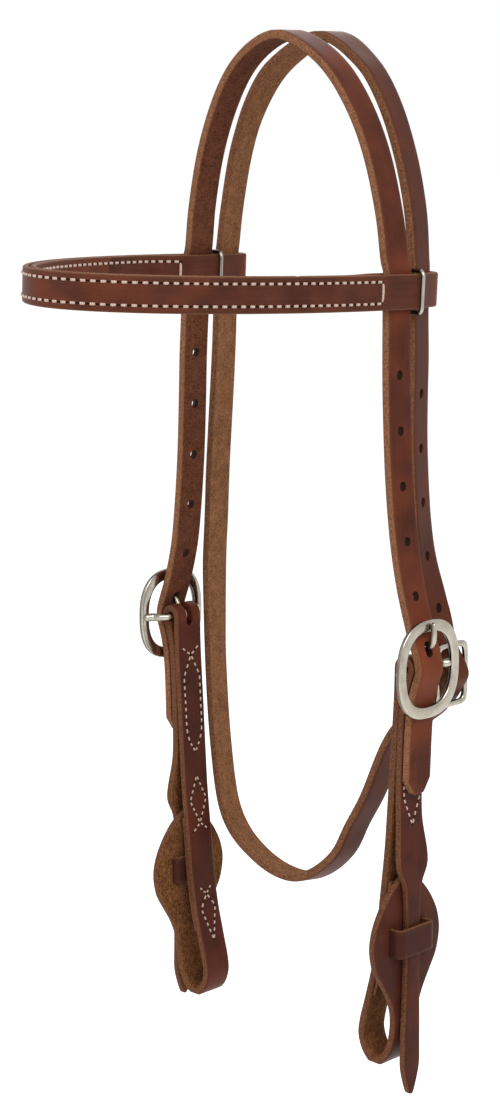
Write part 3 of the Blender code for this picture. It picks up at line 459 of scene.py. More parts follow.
@dataclass
class Strap:
    """A strap cut flat, punched, and laid along a route."""

    name: str
    route: Route
    width: Width
    thick: Width
    grain: Grain
    holes: Sequence[Hole] = ()
    marks: Sequence[float] = ()
    edge_round: float = 0.00115
    seed: float = 0.0
    handled: float = 0.0

    def section(self, half_width: float, half_thick: float) -> list[tuple[float, float]]:
        """Outline across the strap, its edges rounded.

        Args:
            half_width: Half the width there.
            half_thick: Half the thickness there.

        Returns:
            Points as distance across and distance to the left.
        """
        corner = min(self.edge_round, 0.8 * half_thick, 0.8 * half_width)
        across, through = half_width - corner, half_thick - corner
        out = []
        for cx, cy, start in CORNERS:
            centre = np.array([cx * across, cy * through])
            out += [tuple(p) for p in arc(centre, corner, start, start + 90, 5)]
            if start in (0, 180):
                ends = (cx * across, -cx * across)
                out += [(float(x), cy * half_thick) for x in np.linspace(*ends, 7)[1:-1]]
        return out

    def stations(self) -> list[tuple[float, float]]:
        """Distances at which the strap gets a ring, and how much the ring is drawn in."""
        total = self.route.total
        curl = min(0.4 * self.thick(0.0), 0.4 * self.thick(total), self.edge_round)
        inner = [curl]
        while inner[-1] < total - curl:
            sharp = float(self.route.curvature(np.array([inner[-1]]), RING_SPREAD)[0])
            inner.append(inner[-1] + min(RING_FAR, max(RING_NEAR, RING_TURN / max(sharp, 1.0))))
        inner = [s for s in inner if s < total - curl * 1.5] + [total - curl]
        marks = [m for m in self.marks if curl < m < total - curl]
        inner = [s for s in inner if all(abs(s - m) > MARK_ROOM for m in marks)]
        angles = np.radians([90, 60, 30])
        head = [(curl * (1 - math.sin(a)), curl * (1 - math.cos(a))) for a in angles]
        tail = [(total - s, drawn) for s, drawn in reversed(head)]
        return head + [(s, 0.0) for s in sorted([*inner, *marks])] + tail

    def punch(self, mesh: bpy.types.Mesh) -> bpy.types.Mesh:
        """Cut the holes, each with a softly worn mouth.

        Args:
            mesh: The flat strap.

        Returns:
            The punched strap.
        """
        points, faces, around = [], [], 28
        turns = np.linspace(0, 2 * math.pi, around, endpoint=False)
        for hole in self.holes:
            half = self.thick(hole.along) / 2
            first = len(points)
            mouth, neck = ((half + rise, grow) for rise, grow in (HOLE_MOUTH, HOLE_NECK))
            for height, grow in ((-mouth[0], mouth[1]), (-neck[0], neck[1]), neck, mouth):
                radius = hole.radius + grow
                for a in turns:
                    shift = math.copysign(hole.length / 2 - hole.radius, math.cos(a))
                    x = hole.along + shift + radius * math.cos(a)
                    points.append((x, hole.across + radius * math.sin(a), height))
            faces += tube_faces(4, around, False, first)
        strap = link(self.name + "_flat", mesh)
        punch = link(self.name + "_punch", made_mesh(self.name + "_punch", points, faces))
        cut = strap.modifiers.new("holes", "BOOLEAN")
        cut.operation, cut.solver, cut.object = "DIFFERENCE", "EXACT", punch
        depsgraph = bpy.context.evaluated_depsgraph_get()
        done = bpy.data.meshes.new_from_object(strap.evaluated_get(depsgraph))
        for used in (strap, punch):
            bpy.data.objects.remove(used)
        return done

    def build(self) -> bpy.types.Object:
        """Make the strap.

        Returns:
            The piece, with the measures that the leather finishes read.
        """
        points, rings = [], self.stations()
        for along, drawn in rings:
            half_width = self.width(along) / 2 - drawn
            half_thick = self.thick(along) / 2 - drawn
            points += [(along, w, t) for w, t in self.section(half_width, half_thick)]
        around = len(points) // len(rings)
        mesh = made_mesh(self.name, points, tube_faces(len(rings), around, False))
        if self.holes:
            mesh = self.punch(mesh)
        flat = coordinates(mesh)
        normals = np.empty(len(mesh.vertices) * 3)
        mesh.vertex_normals.foreach_get("vector", normals)
        facing = normals.reshape(-1, 3)[:, 2]
        half_width = np.array([self.width(min(max(s, 0), self.route.total)) / 2 for s in flat[:, 0]])
        half_thick = np.array([self.thick(s) / 2 for s in flat[:, 0]])
        measure = flat.copy()
        measure[:, 0] += self.seed
        store(mesh, "hide", measure)
        grain = ease(0.5 + 0.9 * facing * self.grain.value)
        store(mesh, "grain_side", np.zeros(len(flat)) if self.grain is Grain.NEITHER else grain)
        store(mesh, "cut_edge", ease((1 - np.abs(facing)) * 1.6 - 0.15))
        store(mesh, "margin", half_width - np.abs(flat[:, 1]))
        strain = self.route.curvature(flat[:, 0]) * half_thick / FULL_STRAIN
        if self.handled:
            # Pulling a billet through its buckle lightens it much as bending does.
            from_end = np.minimum(flat[:, 0], self.route.total - flat[:, 0])
            fading = 1 - ease((from_end - self.handled) / HANDLED_FADE)
            flexed = ease((from_end - HANDLED_START) / HANDLED_GROWTH) * fading
            strain = np.maximum(strain, HANDLED_SHARE * flexed)
        store(mesh, "bending", np.clip(strain, 0, 1))
        mesh.vertices.foreach_set("co", self.route.place(flat).ravel())
        mesh.update()
        return link(self.name, mesh)


@dataclass(frozen=True)
class Seam:
    """A sewn line on a flat strap, as corners of distance along and distance across."""

    corners: tuple[tuple[float, float], ...]
    pitch: float
    thread_share: float = 0.60

    def stitches(self) -> Iterable[tuple[np.ndarray, np.ndarray]]:
        """The ends of each stitch that shows."""
        share = self.thread_share
        for a, b in zip(self.corners, self.corners[1:]):
            start, end = np.array(a), np.array(b)
            count = max(1, round(float(np.linalg.norm(end - start)) / self.pitch))
            for k in range(count):
                first = start + (end - start) * ((k + 0.5 - share / 2) / count)
                last = start + (end - start) * ((k + 0.5 + share / 2) / count)
                yield first, last


@dataclass
class Sewing:
    """Waxed thread over a seam, and dark beads of painted shade for the awl holes that it goes down through.
    """

    name: str
    route: Route
    height: float
    radius: float = 0.00062
    sink: float = 0.0007
    thread_lift: float = 0.35
    hole_reach: float = 0.58
    hole_radius: float = 0.8
    hole_lift: float = -0.36

    def bead(self, ends: tuple[np.ndarray, np.ndarray], radius: float, lift: float, sink: float) -> tuple:
        """One small rounded bar that lies on the leather.

        Args:
            ends: Its two ends on the flat strap.
            radius: Its radius.
            lift: How far its middle stands over the leather.
            sink: How far its ends dip.

        Returns:
            Its points on the flat strap, and for each the turn and place of the thread's lay.
        """
        start, end = ends
        long = float(np.linalg.norm(end - start))
        along = (end - start) / long
        side = np.array([-along[1], along[0]])
        up = math.copysign(1.0, self.height)
        points, lay = [], []
        for u in BEAD_PLACES:
            bow = (2 * u - 1) ** 4
            full = radius * max(0.15, math.sqrt(max(0.0, 1 - (2 * u - 1) ** 8)))
            middle = start + (end - start) * u
            for k in range(BEAD_AROUND):
                a = 2 * math.pi * k / BEAD_AROUND
                flat = middle + side * full * math.cos(a)
                rise = up * (lift - sink * bow + 0.8 * full * math.sin(a))
                points.append((flat[0], flat[1], self.height + rise))
                lay.append((u * long, k / BEAD_AROUND, start[0]))
        return points, lay

    def build(self, seams: Sequence[Seam]) -> bpy.types.Object:
        """Sew the seams.

        Args:
            seams: The lines to sew.

        Returns:
            One piece with all the thread and the painted shade of all the holes.
        """
        points, lays, faces, kinds = [], [], [], []
        for seam in seams:
            for first, last in seam.stitches():
                step = (last - first) / seam.thread_share
                hole = (first + last + step) / 2
                reach = step * (1 - seam.thread_share) * self.hole_reach
                size, ends = self.radius, (hole - reach, hole + reach)
                # The dark beads in the awl holes are painted shade.
                jobs = (
                    ((first, last), size, size * self.thread_lift, self.sink, 0),
                    (ends, size * self.hole_radius, size * self.hole_lift, 0.0, 1),
                )
                for ends, radius, lift, sink, kind in jobs:
                    made = tube_faces(len(BEAD_PLACES), BEAD_AROUND, False, len(points))
                    bead, lay = self.bead(ends, radius, lift, sink)
                    points += bead
                    lays += lay
                    faces += made
                    kinds += [kind] * len(made)
        laid = self.route.place(np.array(points))
        mesh = bpy.data.meshes.new(self.name)
        mesh.from_pydata([tuple(p) for p in laid], [], faces)
        mesh.polygons.foreach_set("material_index", kinds)
        store(mesh, "lay", np.array(lays))
        outward(mesh)
        return link(self.name, mesh, sharp=60.0)


# Finishes
def linear(hex_colour: str) -> tuple[float, float, float, float]:
    """Turn an sRGB hex colour to the linear values that shaders use."""
    parts = [int(hex_colour[i : i + 2], 16) / 255 for i in (1, 3, 5)]
    done = [c / 12.92 if c <= 0.04045 else ((c + 0.055) / 1.055) ** 2.4 for c in parts]
    return (*done, 1.0)


class Nodes:
    """The nodes of a material or of the world, and the steps that the finishes are made of."""

    def __init__(self, tree: bpy.types.NodeTree) -> None:
        """Start with no node."""
        tree.nodes.clear()
        self.tree = tree

    def add(self, kind: str, inputs: dict | None = None, **settings) -> bpy.types.Node:
        """Add a node.

        Args:
            kind: The node's type.
            inputs: Values or sockets for its inputs, by name or number.
            **settings: Its own settings.

        Returns:
            The node.
        """
        node = self.tree.nodes.new(kind)
        for name, value in settings.items():
            setattr(node, name, value)
        for key, value in (inputs or {}).items():
            if isinstance(value, bpy.types.NodeSocket):
                self.tree.links.new(value, node.inputs[key])
            else:
                node.inputs[key].default_value = value
        return node

    def attribute(self, name: str, output: str = "Fac") -> bpy.types.NodeSocket:
        """A measure that the piece's mesh keeps."""
        return self.add("ShaderNodeAttribute", attribute_name=name).outputs[output]

    def times(self, vector: bpy.types.NodeSocket, factors: tuple) -> bpy.types.NodeSocket:
        """A vector with each of its parts multiplied."""
        return self.add("ShaderNodeVectorMath", {0: vector, 1: factors}, operation="MULTIPLY").outputs[0]

    def noise(
        self, vector: bpy.types.NodeSocket, scale: float, detail: float, roughness: float = 0.5
    ) -> bpy.types.NodeSocket:
        """A soft random pattern.

        Args:
            vector: The place that it is read at.
            scale: How often it changes, per unit of that place.
            detail: How many finer patterns lie on it.
            roughness: How strong the finer ones are.

        Returns:
            The pattern's socket.
        """
        inputs = {"Vector": vector, "Scale": scale, "Detail": detail, "Roughness": roughness}
        return self.add("ShaderNodeTexNoise", inputs).outputs["Fac"]

    def math(self, operation: str, *values: object) -> bpy.types.NodeSocket:
        """The result of one arithmetic step on numbers or sockets."""
        return self.add("ShaderNodeMath", dict(enumerate(values)), operation=operation).outputs[0]

    def ranged(self, value: bpy.types.NodeSocket, low: float, high: float, to: tuple) -> bpy.types.NodeSocket:
        """Stretch a range of a value to another range.

        Args:
            value: The value.
            low: Its lowest point.
            high: Its highest point.
            to: What those two points become.

        Returns:
            The stretched value's socket.
        """
        inputs = {0: value, 1: low, 2: high, 3: to[0], 4: to[1]}
        return self.add("ShaderNodeMapRange", inputs, clamp=True).outputs[0]

    def mix(self, share: bpy.types.NodeSocket, low: object, high: object) -> bpy.types.NodeSocket:
        """Mix two numbers by a share."""
        return self.add("ShaderNodeMix", {0: share, 2: low, 3: high}).outputs[0]

    def blend(self, share: bpy.types.NodeSocket, low: object, high: object) -> bpy.types.NodeSocket:
        """Mix two colours by a share.

        Args:
            share: 0 gives the first colour and 1 the second.
            low: A hex colour or a socket.
            high: A hex colour or a socket.

        Returns:
            The mixed colour's socket.
        """
        ends = [linear(end) if isinstance(end, str) else end for end in (low, high)]
        inputs = {0: share, 6: ends[0], 7: ends[1]}
        return self.add("ShaderNodeMix", inputs, data_type="RGBA", clamp_factor=True).outputs[2]

    def bump(self, height: bpy.types.NodeSocket, strength: float, distance: float) -> bpy.types.NodeSocket:
        """Fine relief from a height."""
        inputs = {"Strength": strength, "Distance": distance, "Height": height}
        return self.add("ShaderNodeBump", inputs).outputs[0]

    def surface(self, inputs: dict) -> None:
        """Finish the material with its shader.

        Args:
            inputs: Values or sockets for the shader's inputs.
        """
        shader = self.add("ShaderNodeBsdfPrincipled", inputs)
        self.add("ShaderNodeOutputMaterial", {"Surface": shader.outputs[0]})


def blank_material(name: str) -> tuple[bpy.types.Material, Nodes]:
    """A new material with nothing in it, and its nodes."""
    material = bpy.data.materials.new(name)
    material.use_nodes = True
    return material, Nodes(material.node_tree)


@dataclass(frozen=True)
class HarnessLeather:
    """Oiled vegetable-tanned harness leather: drum dyed, plated on the grain, raw on the flesh side.

    The oil gives the grain a low satin sheen and a redder, lighter tone wherever the strap bends.
    """

    name: str
    grain_deep: str = "#452117"
    grain_warm: str = "#5f3021"
    pull_up: str = "#87432a"
    edge_deep: str = "#573726"
    edge_light: str = "#9c6b4b"
    flesh_deep: str = "#3e2117"
    flesh_light: str = "#804e37"
    # Painted shade inside punched holes.
    hole_shade: str = "#2a140d"
    pore_mm: float = 0.9
    fibre_mm: float = 0.42
    grain_gloss: float = 0.42
    flesh_gloss: float = 0.88
    edge_gloss: float = 0.55
    noise_roughness: float = 0.6

    def build(self) -> bpy.types.Material:
        """Make the material."""
        material, nodes = blank_material(self.name)
        flat = nodes.times(nodes.attribute("hide", "Vector"), TO_MM)
        side = nodes.attribute("grain_side")
        cut = nodes.attribute("cut_edge")
        margin = nodes.attribute("margin")
        bending = nodes.attribute("bending")
        rough = self.noise_roughness
        # Drum dye takes unevenly over patches of about 20 mm.
        cloud = nodes.noise(flat, 1 / 20, 3.0, rough)
        # The hide's own lines run along the strap, about 1 mm apart and 25 mm long.
        streak = nodes.noise(nodes.times(flat, (0.04, 1.0, 1.0)), 0.9, 2.0, rough)
        # The grain's pores are 0.2 mm apart. They are drawn coarser, or they would not show.
        cells = {"Vector": flat, "Scale": 1 / self.pore_mm, "Randomness": 0.9}
        pores = nodes.add("ShaderNodeTexVoronoi", cells, feature="SMOOTH_F1")
        pore = nodes.ranged(pores.outputs["Distance"], 0.15, 0.75, (1.0, 0.0))
        dyed = nodes.ranged(cloud, 0.32, 0.68, (0.0, 0.75))
        tone = nodes.math("ADD", dyed, nodes.ranged(streak, 0.35, 0.7, (0.0, 0.3)))
        grain = nodes.blend(tone, self.grain_deep, self.grain_warm)
        # Handling leaves redder patches of about 40 mm.
        worn = nodes.ranged(nodes.noise(flat, 1 / 40, 2.0, rough), 0.48, 0.70, (0.0, 0.4))
        grain = nodes.blend(worn, grain, self.pull_up)
        # Bending draws the oil up, more in some patches than in others.
        bent = nodes.ranged(bending, 0.06, 0.9, (0.0, 0.8))
        stretched = nodes.math("MULTIPLY", bent, nodes.ranged(cloud, 0.25, 0.6, (0.55, 1.0)))
        grain = nodes.blend(stretched, grain, self.pull_up)
        grain = nodes.blend(nodes.ranged(margin, 0.0006, 0.0024, (0.35, 0.0)), grain, self.edge_deep)
        # Loose fibres on the flesh side lie mostly along the strap.
        fibre = nodes.noise(nodes.times(flat, (0.45, 1.0, 1.0)), 1 / self.fibre_mm, 6.0, rough)
        fluff = nodes.ranged(nodes.noise(flat, 1 / 4.5, 3.0, rough), 0.3, 0.7, (-0.1, 0.25))
        nap = nodes.math("ADD", nodes.ranged(fibre, 0.38, 0.64, (0.0, 0.85)), fluff)
        flesh = nodes.blend(nap, self.flesh_deep, self.flesh_light)
        # Burnished edges are dark where the slicker sealed them and orange where it rubbed off.
        rubbed = nodes.noise(flat, 1 / 0.7, 5.0, rough)
        edge = nodes.blend(nodes.ranged(rubbed, 0.35, 0.7, (0.0, 1.0)), self.edge_deep, self.edge_light)
        # Painted shade: cut faces far from the strap's side edges, mainly inside the punched holes, are
        # painted dark.
        edge = nodes.blend(nodes.ranged(margin, 0.0015, 0.003, (0.0, 0.9)), edge, self.hole_shade)
        # The arris between face and edge is painted a lighter tan: partly rubbing from handling, partly a
        # painted highlight along the rounded edge.
        arris = nodes.math("PINGPONG", nodes.math("MULTIPLY", cut, 2.0), 1.0)
        rub_and_highlight = nodes.math("MULTIPLY", arris, nodes.ranged(rubbed, 0.35, 0.6, (0.05, 0.4)))
        colour = nodes.blend(cut, nodes.blend(side, flesh, grain), edge)
        colour = nodes.blend(rub_and_highlight, colour, self.edge_light)
        satin = nodes.ranged(cloud, 0.3, 0.7, (self.grain_gloss - 0.05, self.grain_gloss + 0.09))
        gloss = nodes.mix(cut, nodes.mix(side, self.flesh_gloss, satin), self.edge_gloss)
        hide = nodes.math("ADD", nodes.math("MULTIPLY", pore, 0.3), nodes.math("MULTIPLY", streak, 0.5))
        relief = nodes.mix(side, nodes.math("MULTIPLY", fibre, 2.6), hide)
        bump = nodes.bump(relief, 0.7, 0.00016)
        inputs = {"Base Color": colour, "Roughness": gloss, "Normal": bump}
        nodes.surface({**inputs, "IOR": 1.45, "Specular IOR Level": 0.08})
        return material


@dataclass(frozen=True)
class WaxedThread:
    """Waxed cream linen thread, three-ply and hand laid: a soft sheen and a slanting lay."""

    name: str = "waxed_linen_thread"
    light: str = "#e0c9b6"
    # Painted shade: the colour of the grooves between the plies.
    shade: str = "#a08170"
    lay_mm: float = 0.8

    def build(self) -> bpy.types.Material:
        """Make the material."""
        material, nodes = blank_material(self.name)
        lay = nodes.attribute("lay", "Vector")
        parts = nodes.add("ShaderNodeSeparateXYZ", {0: lay})
        along = nodes.math("MULTIPLY", parts.outputs[0], 1000 / self.lay_mm)
        ply = nodes.math("PINGPONG", nodes.math("ADD", along, parts.outputs[1]), 0.5)
        mottle = nodes.ranged(nodes.noise(lay, 900.0, 2.0), 0.3, 0.7, (0.75, 1.0))
        # Painted shade: the grooves between the plies are painted in the darker colour, on top of a random
        # mottle.
        tone = nodes.math("MULTIPLY", nodes.ranged(ply, 0.05, 0.35, (0.25, 1.0)), mottle)
        colour = nodes.blend(tone, self.shade, self.light)
        bump = nodes.bump(ply, 0.6, 0.00012)
        nodes.surface({"Base Color": colour, "Normal": bump, "Roughness": 0.5, "IOR": 1.47})
        return material


@dataclass(frozen=True)
class AwlHole:
    """Painted shade for the inside of a stitch hole: dark and dull."""

    name: str = "awl_hole_shade"
    deep: str = "#150b08"
    # Both colours are painted shade, the second a little lighter.
    worn: str = "#26150f"

    def build(self) -> bpy.types.Material:
        """Make the material."""
        material, nodes = blank_material(self.name)
        mottle = nodes.noise(nodes.attribute("lay", "Vector"), 700.0, 2.0)
        colour = nodes.blend(mottle, self.deep, self.worn)
        nodes.surface({"Base Color": colour, "Roughness": 0.9, "Specular IOR Level": 0.1})
        return material


@dataclass(frozen=True)
class SatinSteel:
    """Stainless steel, cast or drawn and then tumbled: bright, satin, with fine random scratches."""

    name: str = "tumbled_stainless_steel"
    bright: str = "#b3ac9f"
    dull: str = "#8f887b"
    # Painted reflection: the dark colour of the walls, in place of the room that they would reflect.
    skin: str = "#56514a"
    scratch_mm: float = 0.35
    gloss: float = 0.17

    def build(self) -> bpy.types.Material:
        """Make the material."""
        material, nodes = blank_material(self.name)
        where = nodes.add("ShaderNodeTexCoord")
        place = nodes.times(where.outputs["Object"], TO_MM)
        # Tumbling leaves haze in patches of about 5 mm.
        haze = nodes.noise(place, 1 / 5, 4.0)
        scratch = nodes.noise(nodes.times(place, (1.0, 0.25, 0.25)), 1 / self.scratch_mm, 5.0, 0.7)
        colour = nodes.blend(nodes.ranged(haze, 0.4, 0.75, (0.0, 0.6)), self.bright, self.dull)
        # Painted reflection: walls that face sideways are painted darker than the polished face, in place of
        # the dark room that they would reflect.
        facing = nodes.add("ShaderNodeSeparateXYZ", {0: where.outputs["Normal"]}).outputs[0]
        painted_wall_shade = nodes.ranged(nodes.math("ABSOLUTE", facing), 0.25, 0.7, (0.85, 0.0))
        colour = nodes.blend(painted_wall_shade, colour, self.skin)
        satin = nodes.ranged(haze, 0.3, 0.7, (self.gloss - 0.04, self.gloss + 0.08))
        gloss = nodes.math("ADD", satin, nodes.ranged(scratch, 0.45, 0.7, (0.0, 0.07)))
        bump = nodes.bump(scratch, 0.25, 0.00005)
        nodes.surface({"Base Color": colour, "Roughness": gloss, "Metallic": 1.0, "Normal": bump})
        return material


class Finish(Enum):
    """The finishes that the pieces choose from."""

    CROWN = HarnessLeather("harness_leather_crown", edge_deep="#64402e", edge_light="#aa7552")
    THROAT = HarnessLeather(
        "harness_leather_throatlatch", pull_up="#63321f", flesh_deep="#5d3a27", flesh_light="#b07c55"
    )
    CHEEK = HarnessLeather(
        "harness_leather_cheek",
        grain_deep="#3f1f18",
        grain_warm="#562c21",
        pull_up="#6a3423",
        edge_deep="#4c2d1f",
        edge_light="#8a5b40",
        flesh_deep="#3a2113",
        flesh_light="#9a663f",
    )
    BAND = HarnessLeather("harness_leather_browband", grain_deep="#46251c", grain_warm="#5f3528")
    LINING = HarnessLeather("harness_leather_lining", grain_deep="#532a1d", grain_warm="#6d3a28")
    BACKING = HarnessLeather("split_leather_backing", flesh_deep="#472a18", flesh_light="#7a4c2f")
    KEEPER = HarnessLeather(
        "harness_leather_keeper", grain_deep="#35191a", grain_warm="#45241d", pull_up="#4f2a20"
    )
    THREAD = WaxedThread()
    HOLE = AwlHole()
    STEEL = SatinSteel()


# The finishes of a sewn line, in the order of its faces' numbers: thread, then the painted shade of the awl
# holes.
SEWN = (Finish.THREAD, Finish.HOLE)


class Workshop:
    """Keeps each made finish, and dresses and hangs the pieces."""

    def __init__(self) -> None:
        """Start with no finish made."""
        self.made: dict[Finish, bpy.types.Material] = {}

    def material(self, finish: Finish) -> bpy.types.Material:
        """The finish's material, made when it is first asked for."""
        if finish not in self.made:
            self.made[finish] = finish.value.build()
        return self.made[finish]

    def hang(
        self,
        piece: bpy.types.Object,
        body: str,
        finishes: Sequence[Finish],
        nodes: Sequence[str] = (),
    ) -> None:
        """Dress a piece and fix it to its body.

        Args:
            piece: The piece.
            body: The frame's body that it moves with.
            finishes: Its finishes, in the order of its faces' numbers.
            nodes: The frame's nodes that it stands for.
        """
        for finish in finishes:
            piece.data.materials.append(self.material(finish))
        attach(piece, body)
        if nodes:
            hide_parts(*nodes)
        LOG.info("%s rides on %s, %d faces", piece.name, body, len(piece.data.polygons))


def even(points: np.ndarray, step: float) -> np.ndarray:
    """The same line with its points evenly spread.

    Args:
        points: The line.
        step: About how far apart the points come.

    Returns:
        The new points.
    """
    s = lengths(points)
    places = np.linspace(0, s[-1], max(2, round(s[-1] / step)) + 1)
    return np.column_stack([np.interp(places, s, column) for column in points.T])


def profile(table: Shares, length: float = 1.0, size: float = 1.0) -> Width:
    """A softly changing size along a strap.

    Args:
        table: Places and sizes, as shares.
        length: What a place of 1 stands for.
        size: What a size of 1 stands for.

    Returns:
        A function from the distance to the size.
    """
    span = table[-1][0] - table[0][0]
    curve = smooth(table, span / 150)
    return lambda s: size * float(np.interp(s / length, curve[:, 0], curve[:, 1]))


@dataclass(frozen=True)
class Head:
    """Measures that the whole headstall shares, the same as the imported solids'."""

    strap_width: float = 0.0159
    crown_thick: float = 0.0044
    cheek_thick: float = 0.0038
    band_thick: float = 0.0028
    gap: float = 0.0003
    near_half: float = 0.064
    far_half: float = 0.066
    rear_tuck: float = 0.0037
    far_rear_out: float = 0.0022
    arch_drop: float = 0.112
    poll_flat: float = 0.003
    spacing: float = 0.0167
    front_lean: float = 0.00125
    front_lean_drop: float = 0.150
    front_spread: float = 0.0069
    front_toe: float = math.radians(3.0)
    rear_lean: float = 0.00815
    rear_lean_drop: float = 0.262
    bar_x: float = 0.078
    bar_drop: float = 0.282
    bar_radius: float = 0.0019
    clip_share: float = 0.45
    tip_share: float = 0.42
    hole_pitch: float = 0.0254
    hole_radius: float = 0.0024
    hole_count: int = 5
    worn_hole: float = 0.0084
    band_drop: float = 0.1102
    rear_toe: float = math.radians(16.5)
    far_toe: float = math.radians(16.0)
    front_arch: Shares = (
        (0.150, 0.017), (0.332, 0.071), (0.499, 0.152), (0.675, 0.294), (0.820, 0.475),
        (0.933, 0.720), (0.979, 0.895), (1.000, 0.930), (1.000, 1.000),
    )
    rear_arch: Shares = (
        (0.152, 0.017), (0.329, 0.071), (0.515, 0.152), (0.696, 0.294), (0.836, 0.475),
        (0.944, 0.720), (0.990, 0.895), (1.000, 0.930), (1.000, 1.000),
    )
    front_spreads: Shares = (
        (0.000, 1.000), (0.136, 0.725), (0.363, 0.394), (0.680, 0.148), (0.930, 0.015), (1.000, 0.000),
    )
    front_toes: Shares = ((0.000, 0.000), (0.136, 0.400), (0.363, 1.000), (0.680, 0.850), (1.000, 0.000))
    rear_leans: Shares = (
        (0.000, 0.503, 0.503), (0.057, 0.274, 0.402), (0.153, 0.245, 0.475), (0.286, 0.345, 0.606),
        (0.420, 0.153, 0.590), (0.534, 0.150, 0.480), (0.611, 0.060, 0.360), (0.695, 0.080, 0.230),
        (0.794, 0.178, 0.115), (0.889, 0.362, 0.090), (0.985, 0.816, 0.080), (1.050, 1.000, 0.080),
        (1.700, 1.000, 0.080),
    )
    rear_toes: Shares = (
        (0.000, 0.000), (0.057, 0.467), (0.153, 0.673), (0.286, 0.806), (0.400, 1.000),
        (0.820, 1.000), (0.890, 0.670), (0.985, 0.200), (1.020, 0.000),
    )
    far_toes: Shares = (
        (0.050, 0.000), (0.153, 0.725), (0.286, 0.806), (0.420, 0.720), (0.640, 0.600),
        (0.990, 0.600), (1.150, 1.000),
    )

    @property
    def fold_mid(self) -> float:
        """Radius of the cheekpiece's middle where it folds round the bar."""
        return self.bar_radius + self.gap + self.cheek_thick / 2

    @property
    def layer(self) -> float:
        """Half the distance between the cheekpiece's two layers."""
        return (self.cheek_thick + self.gap) / 2

    @property
    def billet_lift(self) -> float:
        """Distance from the cheekpiece's outer layer to the billet on it."""
        return self.cheek_thick / 2 + self.gap + self.crown_thick / 2

    @property
    def cheek_y(self) -> float:
        """Place across the head of everything on the cheek."""
        return -self.spacing / 2 - self.front_lean

    def half(self, side: Side) -> float:
        """Half the front strap's spread on one side."""
        return self.near_half if side is Side.NEAR else self.far_half

    def front_y(self, points: np.ndarray) -> np.ndarray:
        """Place across the head of the front strap at points (x, z)."""
        drop = -points[:, 1]
        lean = self.front_lean * np.clip(drop / self.front_lean_drop, 0, 1)
        table = smooth(self.front_spreads)
        spread = self.front_spread * np.interp(drop / self.band_drop, table[:, 0], table[:, 1])
        return -self.spacing / 2 - lean - spread

    def rear_y(self, points: np.ndarray) -> np.ndarray:
        """Place across the head of the rear strap at points (x, z)."""
        table = smooth(self.rear_leans)
        drop = -points[:, 1] / self.rear_lean_drop
        near, far = (np.interp(drop, table[:, 0], table[:, k]) for k in (1, 2))
        sway = ease((points[:, 0] + 0.030) / 0.080)
        return self.spacing / 2 + self.rear_lean * (far + (near - far) * sway)

    def turned_front(self, points: np.ndarray) -> np.ndarray:
        """How far the front strap's arch is turned about its length."""
        turned = self.front_toe * np.interp(-points[:, 1] / self.band_drop, *zip(*self.front_toes))
        return turned * np.sign(points[:, 0])

    def turned_near(self, drop: float | np.ndarray) -> float | np.ndarray:
        """How far the rear strap's near leg is turned about its length."""
        return self.rear_toe * np.interp(drop / self.rear_lean_drop, *zip(*self.rear_toes))

    def turned_far(self, points: np.ndarray) -> np.ndarray:
        """How far the rear strap is turned on the far side and under the jaw."""
        grown = np.interp(-points[:, 1] / self.rear_lean_drop, *zip(*self.far_toes))
        return self.far_toe * grown * np.clip((0.020 - points[:, 0]) / 0.060, 0, 1)

    def clipped(self, end: float) -> float:
        """Width of a billet at a distance from its clipped tip."""
        grown = max(end, 0.0) / (self.clip_share * self.strap_width)
        return self.strap_width * min(1.0, self.tip_share + (1 - self.tip_share) * grown)

    def laid(self, flat: np.ndarray, across: Callable, tilts: np.ndarray | None = None) -> Route:
        """Give points (x, z) their place across the head.

        Args:
            flat: The points.
            across: The function that gives the place across the head.
            tilts: The turn about the length at each point.

        Returns:
            The route.
        """
        points = np.column_stack([flat[:, 0], across(flat), flat[:, 1]])
        return Route(points, tilts)


def without_doubles(flat: np.ndarray) -> np.ndarray:
    """Number of each point that isn't the same as the one before it."""
    steps = np.linalg.norm(np.diff(flat, axis=0), axis=1)
    return np.concatenate([[0], np.nonzero(steps > 1e-6)[0] + 1])


